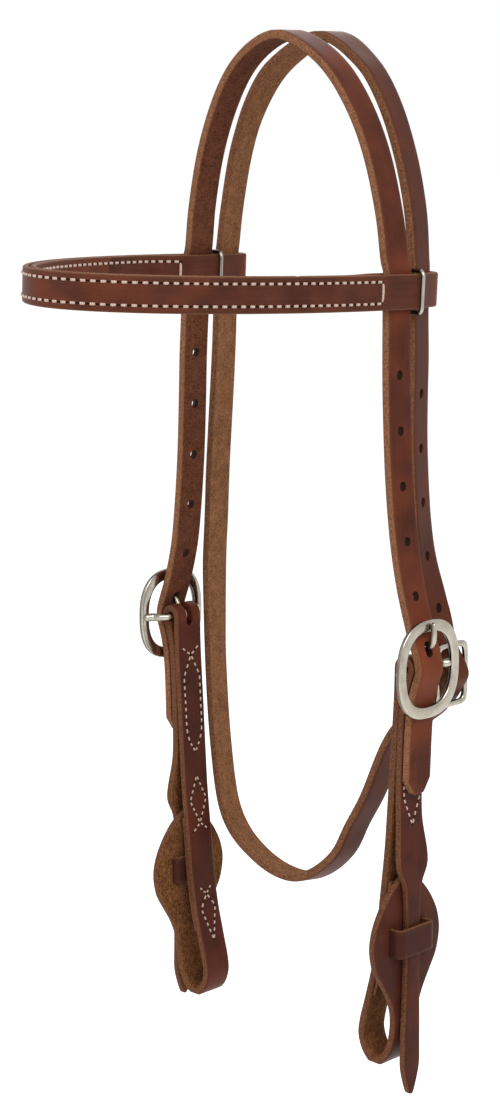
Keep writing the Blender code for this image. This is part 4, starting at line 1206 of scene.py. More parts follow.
@dataclass
class Cheek:
    """One cheekpiece: its folded strap, loop backing, keeper and sewn diamonds."""

    head: Head
    side: Side
    tab_width: float = 0.011
    tab_point: float = 0.014
    tab_start: float = 0.112
    shoulder: float = 0.095
    shoulder_width: float = 0.0195
    shoulder_run: float = 0.022
    tip_width: float = 0.0024
    taper: float = 0.55
    flap_tip: float = 0.100
    bulb_half: float = 0.0236
    bulb_length: float = 0.075
    loop_depth: float = 0.0203
    loop_drop: float = 0.1947
    seat_half: float = 0.0026
    seat_share: float = 0.58
    seam_lean: float = 0.00445
    seam_drop: float = 0.048
    pinch_lean: float = 0.00245
    pinch_drop: float = 0.0162
    slot_width: float = 0.0042
    slot_below: float = 0.005
    keeper_height: float = 0.0137
    keeper_from_tip: float = 0.0313
    keeper_half: float = 0.0125
    keeper_thick: float = 0.0022
    keeper_corner: float = 0.0012
    keeper_room: float = 0.0006
    slit_room: float = 0.0004
    backing_width: float = 0.0143
    backing_thick: float = 0.0016
    backing_top: float = 0.104
    backing_bottom: float = 0.163
    pitch: float = 0.0036
    thread: float = 0.00045
    strand: Shares = (
        (0.118, 0.2465), (0.182, 0.3595), (0.246, 0.4570), (0.390, 0.596), (0.473, 0.683),
        (0.616, 0.770), (0.833, 0.858), (0.963, 0.909), (1.000, 0.945), (0.880, 0.981),
    )
    rise: Shares = ((0.280, 0.984), (0.110, 0.950), (0.026, 0.903), (0.000, 0.850))
    bulb: Shares = (
        (0.000, 0.050), (0.050, 0.300), (0.113, 0.530), (0.221, 0.785), (0.329, 0.945), (0.430, 1.000),
        (0.560, 0.930), (0.680, 0.720), (0.790, 0.510), (0.900, 0.375), (1.000, 0.337),
    )
    # Sewn lines as drops below the poll and distances from the strap's middle, in mm.
    inner_lines: Shares = (
        (297.5, 5.9, 302.0, 0.0, 312.7, -5.3, 338.5, -5.2, 342.7, -4.7, 346.6, -3.3, 352.0, 0.0),
        (364.5, 0.0, 377.0, 5.5, 389.0, 0.0, 393.0, -5.0),
        (422.0, 4.0, 426.0, 0.0, 433.0, -4.8, 449.5, 0.0),
    )
    outer_lines: Shares = ((334.0, 5.9, 344.0, 5.6, 358.0, 0.0),)
    backing_lines: Shares = ((422.0, 4.0, 426.0, 0.0, 433.0, -4.8, 444.0, 0.0),)

    @property
    def tip_drop(self) -> float:
        """How far the tab's tip hangs below the bar."""
        return 0.209 if self.side is Side.NEAR else 0.202

    @property
    def flap_x(self) -> float:
        """Place of the flap's middle, behind the tab."""
        return self.head.bar_x - self.head.cheek_thick - self.head.gap

    @property
    def grain(self) -> Grain:
        """The side of the route that the grain faces."""
        return Grain.RIGHT if self.side is Side.NEAR else Grain.LEFT

    def tab_route(self) -> np.ndarray:
        """From the tab's tip up its outer layer to the buckle bar, as (x, z)."""
        head = self.head
        x, bar = head.bar_x, -head.bar_drop
        seam_x = x - self.seam_lean + head.layer
        return smooth(
            [
                (x, bar - self.tip_drop),
                (x, bar - (self.tip_drop + self.tab_start) / 2),
                (x, bar - self.tab_start),
                (x, bar - self.shoulder),
                (seam_x, bar - (self.shoulder + self.seam_drop) / 2),
                (seam_x, bar - self.seam_drop),
                (x - self.pinch_lean + head.layer, bar - self.pinch_drop),
                (x + head.fold_mid, bar),
            ]
        )

    def strand_point(self, share: tuple[float, ...]) -> tuple[float, float]:
        """A point of the inner strand or the bit loop, from its shares of depth and drop."""
        return (self.flap_x - share[0] * self.loop_depth, -self.head.bar_drop - share[1] * self.loop_drop)

    def runs(self) -> tuple[np.ndarray, np.ndarray, np.ndarray, np.ndarray]:
        """The outer layer, the fold, the inner layer to the bit seat, and the flap, as (x, z)."""
        head = self.head
        bar = -head.bar_drop
        fold = arc(np.array([head.bar_x, bar]), head.fold_mid, 0, 180, 41)
        seat_x = self.flap_x - self.seat_share * self.loop_depth
        inner = [fold[-1], (head.bar_x - self.pinch_lean - head.layer, bar - self.pinch_drop)]
        inner += [self.strand_point(share) for share in self.strand]
        inner += [(seat_x - self.seat_half, bar - self.loop_drop)]
        flap = [(seat_x + self.seat_half, bar - self.loop_drop)]
        flap += [self.strand_point(share) for share in self.rise]
        flap += [(self.flap_x, bar - self.flap_tip - share * self.bulb_length) for share in (0.5, 0.0)]
        return self.tab_route(), fold[1:], smooth(inner)[1:], smooth(flap)

    def on_side(self, flat: np.ndarray) -> np.ndarray:
        """The same points on this cheek's side."""
        return flat if self.side is Side.NEAR else mirrored(flat)

    def route(self) -> Route:
        """The whole strap's route."""
        flat = np.vstack(self.runs())
        return self.head.laid(self.on_side(flat), lambda p: np.full(len(p), self.head.cheek_y))

    def width(self, total: float) -> Width:
        """The strap's width: pointed tab, shoulders, plain strap, then the flap's bulb and tip."""
        shoulder = self.tip_drop - self.shoulder
        neck = shoulder - self.shoulder_run / 2
        tab = profile(
            (
                (0.0, self.tip_width),
                (self.tab_point / 3, self.taper * self.tab_width),
                (self.tab_point, self.tab_width),
                (2 * self.tab_point, self.tab_width),
                (neck, self.tab_width),
                (shoulder, self.shoulder_width),
                (shoulder + self.shoulder_run, self.head.strap_width),
                (shoulder + 2 * self.shoulder_run, self.head.strap_width),
            )
        )
        bulb = profile(self.bulb, self.bulb_length, 2 * self.bulb_half)
        return lambda s: bulb(total - s) if total - s < self.bulb_length else tab(s)

    def strap(self) -> Strap:
        """The folded strap, with its tongue slot and the keeper's two slits."""
        route = self.route()
        outer, fold = self.runs()[:2]
        top = lengths(outer)[-1] + lengths(fold)[-1] / 2
        quarter = self.head.fold_mid * math.pi / 2
        slit_at = route.total - self.keeper_from_tip
        slit_long = self.keeper_height + 2 * self.slit_room
        slit_radius = self.keeper_thick / 2 + self.slit_room
        slit_y = self.keeper_half - self.keeper_thick / 2
        holes = [Hole(top, 2 * (quarter + self.slot_below), self.slot_width / 2)]
        holes += [Hole(slit_at, slit_long, slit_radius, hand * slit_y) for hand in (-1, 1)]
        name = f"{self.side.hand}_cheek_leather"
        width, thick = self.width(route.total), fixed(self.head.cheek_thick)
        marks = [self.tab_point / 3, self.tab_point, route.total - 0.02 * self.bulb_length]
        seed = 0.7 if self.side is Side.NEAR else 1.9
        return Strap(name, route, width, thick, self.grain, holes, marks, seed=seed)

    def backing(self) -> Strap:
        """The thin ply sewn on the flesh side of the inner strand."""
        head = self.head
        strand = self.runs()[2]
        top = np.argmin(abs(strand[:, 1] + head.bar_drop + self.backing_top))
        end = np.argmin(abs(strand[:, 1] + head.bar_drop + self.backing_bottom))
        ply = offset(strand, head.cheek_thick / 2 + head.gap + self.backing_thick / 2)[top:end]
        route = head.laid(self.on_side(ply), lambda p: np.full(len(p), head.cheek_y))
        name = f"{self.side.hand}_backing_leather"
        width, thick = fixed(self.backing_width), fixed(self.backing_thick)
        return Strap(name, route, width, thick, Grain.NEITHER, seed=3.1)

    def keeper(self) -> Strap:
        """The band through the flap's slits and over the tab, its ends butted behind the flap."""
        head = self.head
        front = head.bar_x + head.cheek_thick / 2 + head.gap + self.keeper_thick
        back = self.flap_x - head.cheek_thick / 2 - self.keeper_room - self.keeper_thick
        half_x = (front - back - self.keeper_thick) / 2
        half_y = self.keeper_half - self.keeper_thick / 2
        ring = rounded_box(half_x, half_y, self.keeper_corner + self.keeper_thick / 2)
        ring = np.roll(ring, -len(ring) // 2, axis=0)
        ring = np.vstack([[-half_x, -0.0001], ring, [-half_x, 0.0001]])
        ring = even(self.on_side(ring), 0.0004)
        drop = head.bar_drop + self.flap_tip + self.keeper_from_tip
        where = Matrix.Translation((self.side.value * (front + back) / 2, head.cheek_y, -drop))
        route = Route(np.column_stack([ring, np.zeros(len(ring))]), None, True, where)
        name = f"{self.side.hand}_keeper_leather"
        height, thick = fixed(self.keeper_height), fixed(self.keeper_thick)
        return Strap(name, route, height, thick, self.grain, edge_round=0.0006, seed=4.3)

    def seams(self, lines: Shares, run: np.ndarray, start: float) -> list[Seam]:
        """Sewn lines with their mirror lines, at their places along the strap.

        Args:
            lines: Drops and distances from the strap's middle, in mm.
            run: The layer that they are sewn on, as (x, z).
            start: Where the layer begins along the strap.

        Returns:
            The seams.
        """
        order = np.argsort(run[:, 1])
        places = lengths(run)
        out = []
        for line in lines:
            along = [start + float(np.interp(-d / 1000, run[order, 1], places[order])) for d in line[::2]]
            for hand in (1, -1):
                across = [hand * w / 1000 for w in line[1::2]]
                out.append(Seam(tuple(zip(along, across)), self.pitch))
        return out

    def stitching(
        self, piece: str, height: float, outer_lines: Shares, inner_lines: Shares
    ) -> bpy.types.Object:
        """The thread that shows on one face.

        Args:
            piece: The sewn piece's name.
            height: How far the face lies from the strap's middle, toward the flesh side.
            outer_lines: Sewn lines on the outer layer.
            inner_lines: Sewn lines on the inner layer.

        Returns:
            The thread.
        """
        outer, fold, inner = self.runs()[:3]
        before = lengths(np.vstack([outer, fold, inner[:1]]))[-1]
        strand = inner[: int(np.argmin(inner[:, 1]))]
        seams = self.seams(outer_lines, outer, 0.0) + self.seams(inner_lines, strand, before)
        name = f"{self.side.hand}_{piece}_stitching"
        return Sewing(name, self.route(), self.side.value * height, self.thread).build(seams)

    def build(self, shop: Workshop) -> None:
        """Make the cheek's leather and thread.

        Args:
            shop: Where the finishes come from.
        """
        hand, half = self.side.hand, self.head.cheek_thick / 2
        body = f"{hand}_cheek"
        for strap, finish, node, slot in (
            (self.strap(), Finish.CHEEK, "cheekpiece", "strap_leather"),
            (self.backing(), Finish.BACKING, "loop_backing", "backing_leather"),
            (self.keeper(), Finish.KEEPER, "tab_keeper", "strap_leather"),
        ):
            shop.hang(strap.build(), body, [finish], [f"{hand}_{node}"])
        rise = half + self.head.gap + self.backing_thick
        for thread in (
            self.stitching("cheek", -half, self.outer_lines, self.inner_lines),
            self.stitching("backing", rise, (), self.backing_lines),
        ):
            shop.hang(thread, body, SEWN)


@dataclass
class Crown:
    """The front strap: over the poll, with a punched cheek billet at each end."""

    head: Head
    near: Cheek
    far: Cheek
    tail: float = 0.061
    opening: float = 0.0176
    rim: float = 0.0054
    top_room: float = 0.0021
    tongue_rise: float = 0.0086
    worn_length: float = 0.0077
    near_leg: Shares = (
        (0.015, 0.452), (0.043, 0.528), (0.114, 0.617), (0.236, 0.706), (0.464, 0.798), (0.770, 0.870),
    )
    far_leg: Shares = (
        (0.100, 0.452), (0.200, 0.528), (0.270, 0.617), (0.370, 0.706), (0.560, 0.798), (0.790, 0.870),
    )

    @property
    def frame_back(self) -> float:
        """Place of the buckle frame's back face."""
        head = self.head
        over = head.layer + head.billet_lift + head.crown_thick / 2 + head.gap
        return head.bar_x - self.near.pinch_lean + over

    def half(self, cheek: Cheek) -> np.ndarray:
        """From the billet's tip on one side to the flat at the poll, as (x, z)."""
        head = self.head
        outer = cheek.tab_route()
        total = lengths(outer)[-1]
        points = list(offset(clip(outer, total - self.tail, total), -head.billet_lift)[::4][:-1])
        points += [(head.bar_x + head.fold_mid + head.billet_lift, -head.bar_drop)]
        rim_x = self.frame_back - self.top_room - head.crown_thick / 2
        points += [(rim_x, -head.bar_drop + self.opening + self.rim / 4)]
        spread = head.half(cheek.side)
        legs = self.near_leg if cheek.side is Side.NEAR else self.far_leg
        run = head.bar_x - spread
        points += [(spread + a * run, -b * head.bar_drop) for a, b in reversed(legs)]
        top = head.crown_thick / 2
        points += [(a * spread, top - b * head.arch_drop) for a, b in reversed(head.front_arch)]
        points += [(head.poll_flat, top)]
        return smooth(points)

    def build(self, shop: Workshop) -> None:
        """Make the crown strap.

        Args:
            shop: Where the finishes come from.
        """
        head = self.head
        near = self.half(self.near)
        flat = np.vstack([near, mirrored(self.half(self.far))[::-1]])
        route = head.laid(flat, head.front_y, head.turned_front(flat))
        total = route.total
        target = (head.bar_x + head.fold_mid + head.billet_lift, -head.bar_drop)
        worn = nearest_length(near, target) + self.tongue_rise
        holes = []
        for k in range(head.hole_count + 1):
            long = self.worn_length if k == 0 else 2 * head.hole_radius
            place = worn + (k * head.hole_pitch or (head.worn_hole - self.worn_length) / 2)
            holes += [Hole(place, long, head.hole_radius), Hole(total - place, long, head.hole_radius)]
        clipped = head.clip_share * head.strap_width
        strap = Strap(
            "crown_leather",
            route,
            lambda s: head.clipped(min(s, total - s)),
            fixed(head.crown_thick),
            Grain.RIGHT,
            holes,
            (clipped, total - clipped),
            handled=0.082,
        )
        shop.hang(strap.build(), "crown", [Finish.CROWN], ["crown_strap"])


@dataclass
class Throatlatch:
    """The rear strap: near billet, poll, far side, jaw loop and skived buckle end."""

    head: Head
    bar_x: float = 0.074
    bar_drop: float = 0.2905
    bar_radius: float = 0.0013
    ease_room: float = 0.0005
    skived: float = 0.002
    skive_start: float = 0.020
    skive_run: float = 0.014
    back_length: float = 0.036
    tail: float = 0.030
    pinch_x: float = 0.0046
    pinch_drop: float = 0.0115
    stand_off: float = 0.0024
    top_room: float = 0.0012
    opening: float = 0.0128
    slot_width: float = 0.0034
    slot_below: float = 0.0065
    hole_rise: float = 0.0072
    half_span: float = 0.0724
    drop: float = 0.4078
    far_hang: Shares = ((0.949, 0.3065), (0.956, 0.4046), (0.975, 0.5027), (0.992, 0.5760))
    jaw: Shares = (
        (-1.008, 0.625), (-1.008, 0.694), (-0.998, 0.761), (-0.950, 0.861), (-0.872, 0.935),
        (-0.792, 0.961), (-0.672, 0.980), (-0.423, 1.000), (-0.174, 1.004), (-0.008, 0.992),
        (0.182, 0.9605), (0.300, 0.9196), (0.410, 0.884), (0.645, 0.795),
    )
    leg: Shares = (
        (0.000, 0.430), (0.066, 0.541), (0.073, 0.627), (0.146, 0.716), (0.270, 0.802), (0.584, 0.888),
    )

    @property
    def bar(self) -> np.ndarray:
        """The buckle bar's place, as (x, z)."""
        return np.array([self.bar_x, -self.bar_drop])

    @property
    def fold_mid(self) -> float:
        """Radius of the strap's middle where it folds round the bar."""
        return self.bar_radius + self.ease_room + self.skived / 2

    @property
    def bulge(self) -> float:
        """Place of the billet's middle where it passes over the bar."""
        return self.bar_x + self.fold_mid + self.skived / 2 + self.head.gap + self.head.crown_thick / 2

    def lower(self) -> np.ndarray:
        """From the bar down the buckle end, under the jaw and up the far side to the poll, as (x, z)."""
        head = self.head
        points = [self.bar + np.array([self.fold_mid, 0.0])]
        points += [self.bar + np.array([-self.pinch_x, -self.pinch_drop])]
        points += [(a * self.half_span, -b * self.drop) for a, b in reversed(self.jaw)]
        points += [(-a * self.half_span, -b * self.drop) for a, b in reversed(self.far_hang)]
        top = head.crown_thick / 2
        half = head.far_half + head.far_rear_out
        points += [(-a * half, top - b * head.arch_drop) for a, b in reversed(head.rear_arch)]
        points += [(-head.poll_flat, top)]
        return smooth(points)

    def end_thick(self, place: float | np.ndarray) -> float | np.ndarray:
        """Thickness at a distance from the bar: skived, then full."""
        share = np.clip((place - self.skive_start) / self.skive_run, 0, 1)
        return self.skived + (self.head.crown_thick - self.skived) * share

    def billet(self) -> np.ndarray:
        """The near leg from the poll down over the bar to its tip, as (x, z)."""
        head = self.head
        tail = clip(self.lower(), 0.0, self.tail)
        tail = offset(tail, self.end_thick(lengths(tail)) / 2 + head.gap + head.crown_thick / 2)[::4]
        half = head.near_half - head.rear_tuck
        top = head.crown_thick / 2
        points = [(head.poll_flat, top)]
        points += [(a * half, top - b * head.arch_drop) for a, b in head.rear_arch]
        points += [(half + a * (self.bar_x - half), -b * self.bar_drop) for a, b in self.leg]
        rim_x = self.bar_x + self.stand_off - self.top_room - head.crown_thick / 2
        points += [(rim_x, -self.bar_drop + self.opening), (self.bulge, -self.bar_drop)]
        return smooth([*points, *tail[1:]])

    def build(self, shop: Workshop) -> None:
        """Make the throatlatch strap.

        Args:
            shop: Where the finishes come from.
        """
        head = self.head
        lower = self.lower()
        back = clip(lower, 0.0, self.back_length)
        s = lengths(back)
        apart = (self.skived + self.end_thick(s)) / 2 + head.gap
        close = ease(s / self.pinch_drop)
        turned = offset(back, -(2 * self.fold_mid * (1 - close) + apart * close))
        fold = arc(self.bar, self.fold_mid, 180, 0, 41)
        billet = self.billet()
        flat = np.vstack([turned[::-1][:-1], fold[:-1], lower, billet])
        start = len(flat) - len(billet)
        tilts = np.concatenate([head.turned_far(flat[:start]), -head.turned_near(-flat[start:, 1])])
        kept = without_doubles(flat)
        route = head.laid(flat[kept], head.rear_y, tilts[kept])
        total = route.total
        quarter = self.fold_mid * math.pi / 2
        at_fold = lengths(turned)[-1] + quarter
        bar_at = at_fold + quarter
        to_billet = float(route.s[np.searchsorted(kept, start)])
        worn = to_billet + nearest_length(billet, (self.bulge, -self.bar_drop)) - self.hole_rise
        holes = [Hole(at_fold, 2 * (quarter + self.slot_below), self.slot_width / 2)]
        for k in range(head.hole_count + 1):
            long = head.worn_hole if k == 0 else 2 * head.hole_radius
            holes.append(Hole(worn - k * head.hole_pitch, long, head.hole_radius))
        strap = Strap(
            "throatlatch_leather",
            route,
            lambda s: head.clipped(total - s),
            lambda s: float(self.end_thick(s - bar_at)),
            Grain.LEFT,
            holes,
            (total - head.clip_share * head.strap_width,),
            seed=5.7,
        )
        shop.hang(strap.build(), "throatlatch", [Finish.THROAT], ["throatlatch_strap"])


@dataclass
class Browband:
    """Two plies sewn together, folded round both straps at each end, with a wire loop at each end."""

    head: Head
    depth: float = 0.140
    lead: float = 0.003
    clear: float = 0.0008
    tuck: float = 0.001
    corner_y: float = -0.001
    tilt: float = math.radians(-1.7)
    roll: float = math.radians(1.25)
    merge_run: float = 0.026
    seam_run: float = 0.050
    wire: float = 0.001
    wire_corner: float = 0.0024
    wire_side_room: float = 0.0004
    wire_height_room: float = 0.0012
    row_top: float = 0.0049
    row_bottom: float = 0.0047
    row_end_y: float = -0.0227
    end_share: float = 0.94
    pitch: float = 0.0043

    @property
    def where(self) -> Matrix:
        """The band's own place, tilted up to the brow and down on the near side."""
        turn = Matrix.Rotation(self.roll, 4, "Y") @ Matrix.Rotation(self.tilt, 4, "X")
        return Matrix.Translation((0, 0, -self.head.band_drop)) @ turn

    def edge_y(self, across: Callable, side: Side) -> float:
        """Place of a strap's middle where the band crosses it."""
        point = np.array([[side.value * self.head.half(side), -self.head.band_drop]])
        return float(across(point)[0])

    def fold(self, side: Side) -> tuple[np.ndarray, float, float]:
        """Centre of the fold round the rear strap, the plies' lean in front of it, and its radius."""
        head = self.head
        near = side is Side.NEAR
        room = head.crown_thick / 2 + self.clear + head.band_thick / 2
        crossing = np.array([[-head.far_half, -head.band_drop]])
        toe = float(head.turned_near(head.band_drop)) if near else -float(head.turned_far(crossing)[0])
        reach = head.strap_width / 2 - self.tuck
        tuck = head.rear_tuck if near else -head.far_rear_out
        centre = np.array([head.half(side) - tuck, self.edge_y(head.rear_y, side)])
        centre += reach * np.array([-math.sin(toe), math.cos(toe)])
        corner = np.array([head.half(side) + room, self.corner_y]) - centre
        lean = math.acos(room / np.linalg.norm(corner)) + math.atan2(corner[1], corner[0])
        return centre, lean, room

    def outer_half(self, side: Side) -> np.ndarray:
        """The outer ply's middle from the fold forward to the brow, as (x, y)."""
        head = self.head
        centre, lean, room = self.fold(side)
        x = head.half(side) + room
        y_front = self.edge_y(head.front_y, side) - head.strap_width / 2 - self.lead
        start = centre + room * np.array([math.cos(lean), math.sin(lean)])
        corner = np.array([x, self.corner_y])
        back = smooth([start, (start + corner) / 2, corner, (x, (self.corner_y + y_front) / 2), (x, y_front)])
        angles = np.linspace(0, math.pi / 2, 90)[1:]
        brow = np.column_stack([x * np.cos(angles), y_front - self.depth * np.sin(angles)])
        return np.vstack([back, brow])

    def inner_half(self, side: Side) -> tuple[np.ndarray, float]:
        """The turned-back or lining ply's middle, and where its seam lies."""
        head = self.head
        outer = self.outer_half(side)
        wide, close = 2 * self.fold(side)[2], head.band_thick + head.gap
        s = lengths(outer)
        y_front = self.edge_y(head.front_y, side) - head.strap_width / 2 - self.lead
        lead = s[np.argmin(abs(outer[:, 1] - y_front))]
        inner = offset(outer, -(wide + (close - wide) * ease((s - lead) / self.merge_run)))
        seam = nearest_length(inner, inner[np.argmin(abs(s - lead - self.seam_run))])
        return inner, seam

    def level_route(self, halves: Sequence[np.ndarray]) -> Route:
        """A route from the near half and the far half of a ply, as (x, y)."""
        flat = np.vstack([halves[0], mirrored(halves[1])[::-1][1:]])
        flat = flat[without_doubles(flat)]
        return Route(np.column_stack([flat, np.zeros(len(flat))]), None, True, self.where)

    def outer_route(self) -> Route:
        """The outer ply with both turned-back ends."""
        halves = []
        for side in Side:
            inner, seam = self.inner_half(side)
            centre, lean, room = self.fold(side)
            turn = math.degrees(lean)
            fold = arc(centre, room, 180 + turn, turn, 41)
            halves.append(np.vstack([clip(inner, 0.0, seam)[::-1][:-1], fold[:-1], self.outer_half(side)]))
        return self.level_route(halves)

    def rows(self, route: Route) -> list[Seam]:
        """Two long rows on one of the band's faces, joined by one long stitch at each end."""
        ahead = np.nonzero(route.points[:, 1] < self.row_end_y)[0]
        middle = int(np.argmin(route.points[:, 1]))
        first = last = middle
        while first - 1 in ahead:
            first -= 1
        while last + 1 in ahead:
            last += 1
        start, end = float(route.s[first]), float(route.s[last])
        top, low = self.row_top, -self.row_bottom
        long = [Seam(((start, z), (end, z)), self.pitch) for z in (top, low)]
        return long + [Seam(((s, low), (s, top)), top - low, self.end_share) for s in (start, end)]

    def wire_loop(self, side: Side) -> bpy.types.Object:
        """The steel wire ring round both plies."""
        head = self.head
        place_y = self.corner_y + self.wire
        spans = []
        for ply in (self.outer_half(side), self.inner_half(side)[0]):
            spans += list(ply[abs(ply[:, 1] - place_y) < self.wire, 0])
        low, high = min(spans) - head.band_thick / 2, max(spans) + head.band_thick / 2
        half_x = (high - low) / 2 + self.wire_side_room + self.wire
        half_z = (head.strap_width + self.wire_height_room) / 2 + self.wire
        ring = rounded_box(half_x, half_z, self.wire_corner)
        ring = even(np.vstack([ring, ring[:1]]), 0.0005)[:-1]
        rise = self.wire_height_room / 2 - head.gap
        x = ring[:, 0] + side.value * (high + low) / 2
        points = moved(np.column_stack([x, np.full(len(ring), place_y), ring[:, 1] - rise]), self.where)
        name = f"{side.hand}_wire_loop_steel"
        return link(name, rod_mesh(name, points, np.full(len(points), self.wire), closed=True))

    def build(self, shop: Workshop) -> None:
        """Make the band's leather, thread and wire loops.

        Args:
            shop: Where the finishes come from.
        """
        head = self.head
        outer = self.outer_route()
        width, thick = fixed(head.strap_width), fixed(head.band_thick)
        strap = Strap("browband_leather", outer, width, thick, Grain.LEFT, seed=7.9)
        shop.hang(strap.build(), "browband", [Finish.BAND], ["browband_strap"])
        inner = [self.inner_half(side) for side in Side]
        trimmed = [clip(ply, seam + head.gap, lengths(ply)[-1]) for ply, seam in inner]
        route = self.level_route(trimmed)
        lining = Strap("browband_lining_leather", route, width, thick, Grain.RIGHT, seed=9.1)
        shop.hang(lining.build(), "browband", [Finish.LINING], ["browband_lining"])
        whole = self.level_route([ply for ply, _ in inner])
        half = head.band_thick / 2
        for name, ply, height in (("browband", outer, half), ("browband_lining", whole, -half)):
            thread = Sewing(name + "_stitching", ply, height).build(self.rows(ply))
            shop.hang(thread, "browband", SEWN)
        for side in Side:
            body = f"{side.hand}_loop"
            shop.hang(self.wire_loop(side), body, [Finish.STEEL], [f"{side.hand}_browband_loop"])


@dataclass
class Buckle:
    """A flat steel frame whose bar stands behind it on two feet, and its tongue."""

    name: str
    tongue_name: str
    side: Side
    place: tuple[float, float, float]
    half_height: float
    half_width: float
    rim: float
    thick: float
    squareness: float
    crown: float
    bar_radius: float
    bar_half: float
    stand_off: float
    feet: Shares
    ring_radius: float
    ring_room: float
    tongue_radius: float
    tongue: Shares
    gap: float
    root: tuple[float, float] = (0.35, 0.93)

    def oval(self, inset: float, angles: np.ndarray) -> np.ndarray:
        """Points of the frame's outline as (y, z), set in by a distance."""
        power = 2.0 / self.squareness
        c, s = np.cos(angles), np.sin(angles)
        z = (self.half_height - inset) * swelled(c, power)
        y = (self.half_width - inset) * swelled(s, power)
        return np.column_stack([-y, z])

    def frame_mesh(self) -> bpy.types.Mesh:
        """The flat ring, its faces slightly crowned and its edges round."""
        fine = np.linspace(0, 2 * math.pi, 7201)
        s = lengths(self.oval(self.rim / 2, fine))
        count, around = 128, 28
        angles = np.interp(np.linspace(0, s[-1], count, endpoint=False), s, fine)
        outer, inner = self.oval(0.0, angles), self.oval(self.rim, angles)
        turns = np.linspace(0, 2 * math.pi, around, endpoint=False)
        power = 2.0 / self.crown
        wide, high = swelled(np.cos(turns), power), swelled(np.sin(turns), power)
        x0, y0, z0 = self.place
        middle_x = x0 + self.side.value * (self.stand_off + self.thick / 2)
        points = []
        for a, b in zip(outer, inner):
            for u, v in zip(wide, high):
                y, z = (a + b) / 2 + (a - b) / 2 * u
                points.append((middle_x + self.thick / 2 * v, y0 + y, z0 + z))
        return made_mesh(self.name + "_frame", points, tube_faces(count, around, True))

    def bar_mesh(self) -> bpy.types.Mesh:
        """The bar and its two bent feet."""
        run = self.half_width - self.rim / 2 - self.bar_half
        lift = self.stand_off + self.thick / 2
        half = [(self.bar_half * share, 0.0, self.bar_radius) for share in (0.30, 0.75, 1.00)]
        half += [(self.bar_half + a * run, b * lift, self.bar_radius * t) for a, b, t in self.feet]
        half = smooth(half, 0.0005)
        whole = np.vstack([half[::-1] * (-1, 1, 1), half])
        x0, y0, z0 = self.place
        path = [(x0 + self.side.value * x, y0 + y, z0) for y, x, radius in whole]
        return rod_mesh(self.name + "_bar", np.array(path), whole[:, 2])

    def tongue_piece(self) -> bpy.types.Object:
        """The eye round the bar and the bent wire."""
        major = self.bar_radius + self.ring_room + self.ring_radius
        turns = np.linspace(0, 2 * math.pi, 48, endpoint=False)
        place = np.array(self.place)
        eye = place + major * np.column_stack([np.cos(turns), 0 * turns, np.sin(turns)])
        rest = self.stand_off + self.thick + self.gap + self.tongue_radius
        opening = self.half_height - self.rim
        path = [(self.root[0] * major, self.root[1] * major)]
        path += [(a * rest, b * opening) for a, b in self.tongue]
        path = smooth(path, 0.0005)
        wire = place + np.column_stack([self.side.value * path[:, 0], 0 * path[:, 0], path[:, 1]])
        share = np.linspace(0, 1, len(wire))
        radii = self.tongue_radius * (1.0 + 0.2 * np.sin(np.pi * np.clip(share * 1.6 - 0.6, 0, 1)))
        ring = rod_mesh("eye", eye, np.full(len(eye), self.ring_radius), closed=True)
        return joined(self.tongue_name + "_steel", [ring, rod_mesh("wire", wire, radii)])

    def build(self, shop: Workshop, bodies: tuple[str, str]) -> None:
        """Make the buckle and its tongue.

        Args:
            shop: Where the finishes come from.
            bodies: The bodies of the frame and of the tongue.
        """
        frame_piece = joined(self.name + "_steel", [self.frame_mesh(), self.bar_mesh()])
        shop.hang(frame_piece, bodies[0], [Finish.STEEL], [self.name])
        shop.hang(self.tongue_piece(), bodies[1], [Finish.STEEL], [self.tongue_name])


def cheek_buckle(head: Head, crown: Crown, side: Side) -> Buckle:
    """The oval buckle of one cheek."""
    return Buckle(
        name=f"{side.hand}_cheek_buckle",
        tongue_name=f"{side.hand}_cheek_tongue",
        side=side,
        place=(side.value * head.bar_x, head.cheek_y, -head.bar_drop),
        half_height=0.023,
        half_width=0.021,
        rim=0.0054,
        thick=0.0028,
        squareness=2.5,
        crown=3.0,
        bar_radius=head.bar_radius,
        bar_half=head.strap_width / 2 + 0.0007,
        stand_off=crown.frame_back - head.bar_x,
        feet=((0.10, 0.04, 1.00), (0.43, 0.33, 1.00), (0.62, 0.66, 1.10), (0.92, 0.87, 1.14)),
        ring_radius=0.0009,
        ring_room=0.00025,
        tongue_radius=0.0013,
        tongue=((0.42, 0.44), (0.70, 0.56), (0.93, 0.70), (1.00, 0.90), (1.00, 1.19)),
        gap=head.gap,
    )


def throat_buckle(head: Head, throat: Throatlatch) -> Buckle:
    """The small rectangular buckle of the throatlatch."""
    return Buckle(
        name="throat_buckle",
        tongue_name="throat_tongue",
        side=Side.NEAR,
        place=(throat.bar_x, head.spacing / 2 + head.rear_lean, -throat.bar_drop),
        half_height=0.0155,
        half_width=0.0114,
        rim=0.0027,
        thick=0.0025,
        squareness=7.0,
        crown=2.6,
        bar_radius=throat.bar_radius,
        bar_half=head.strap_width / 2 + 0.00035,
        stand_off=throat.stand_off,
        feet=((0.75, 0.02, 1.00), (1.00, 0.25, 1.00), (1.05, 0.85, 1.00)),
        ring_radius=0.00075,
        ring_room=0.00025,
        tongue_radius=0.001,
        tongue=((0.50, 0.42), (0.86, 0.56), (1.04, 0.74), (1.02, 0.92), (1.00, 1.15)),
        gap=head.gap,
    )


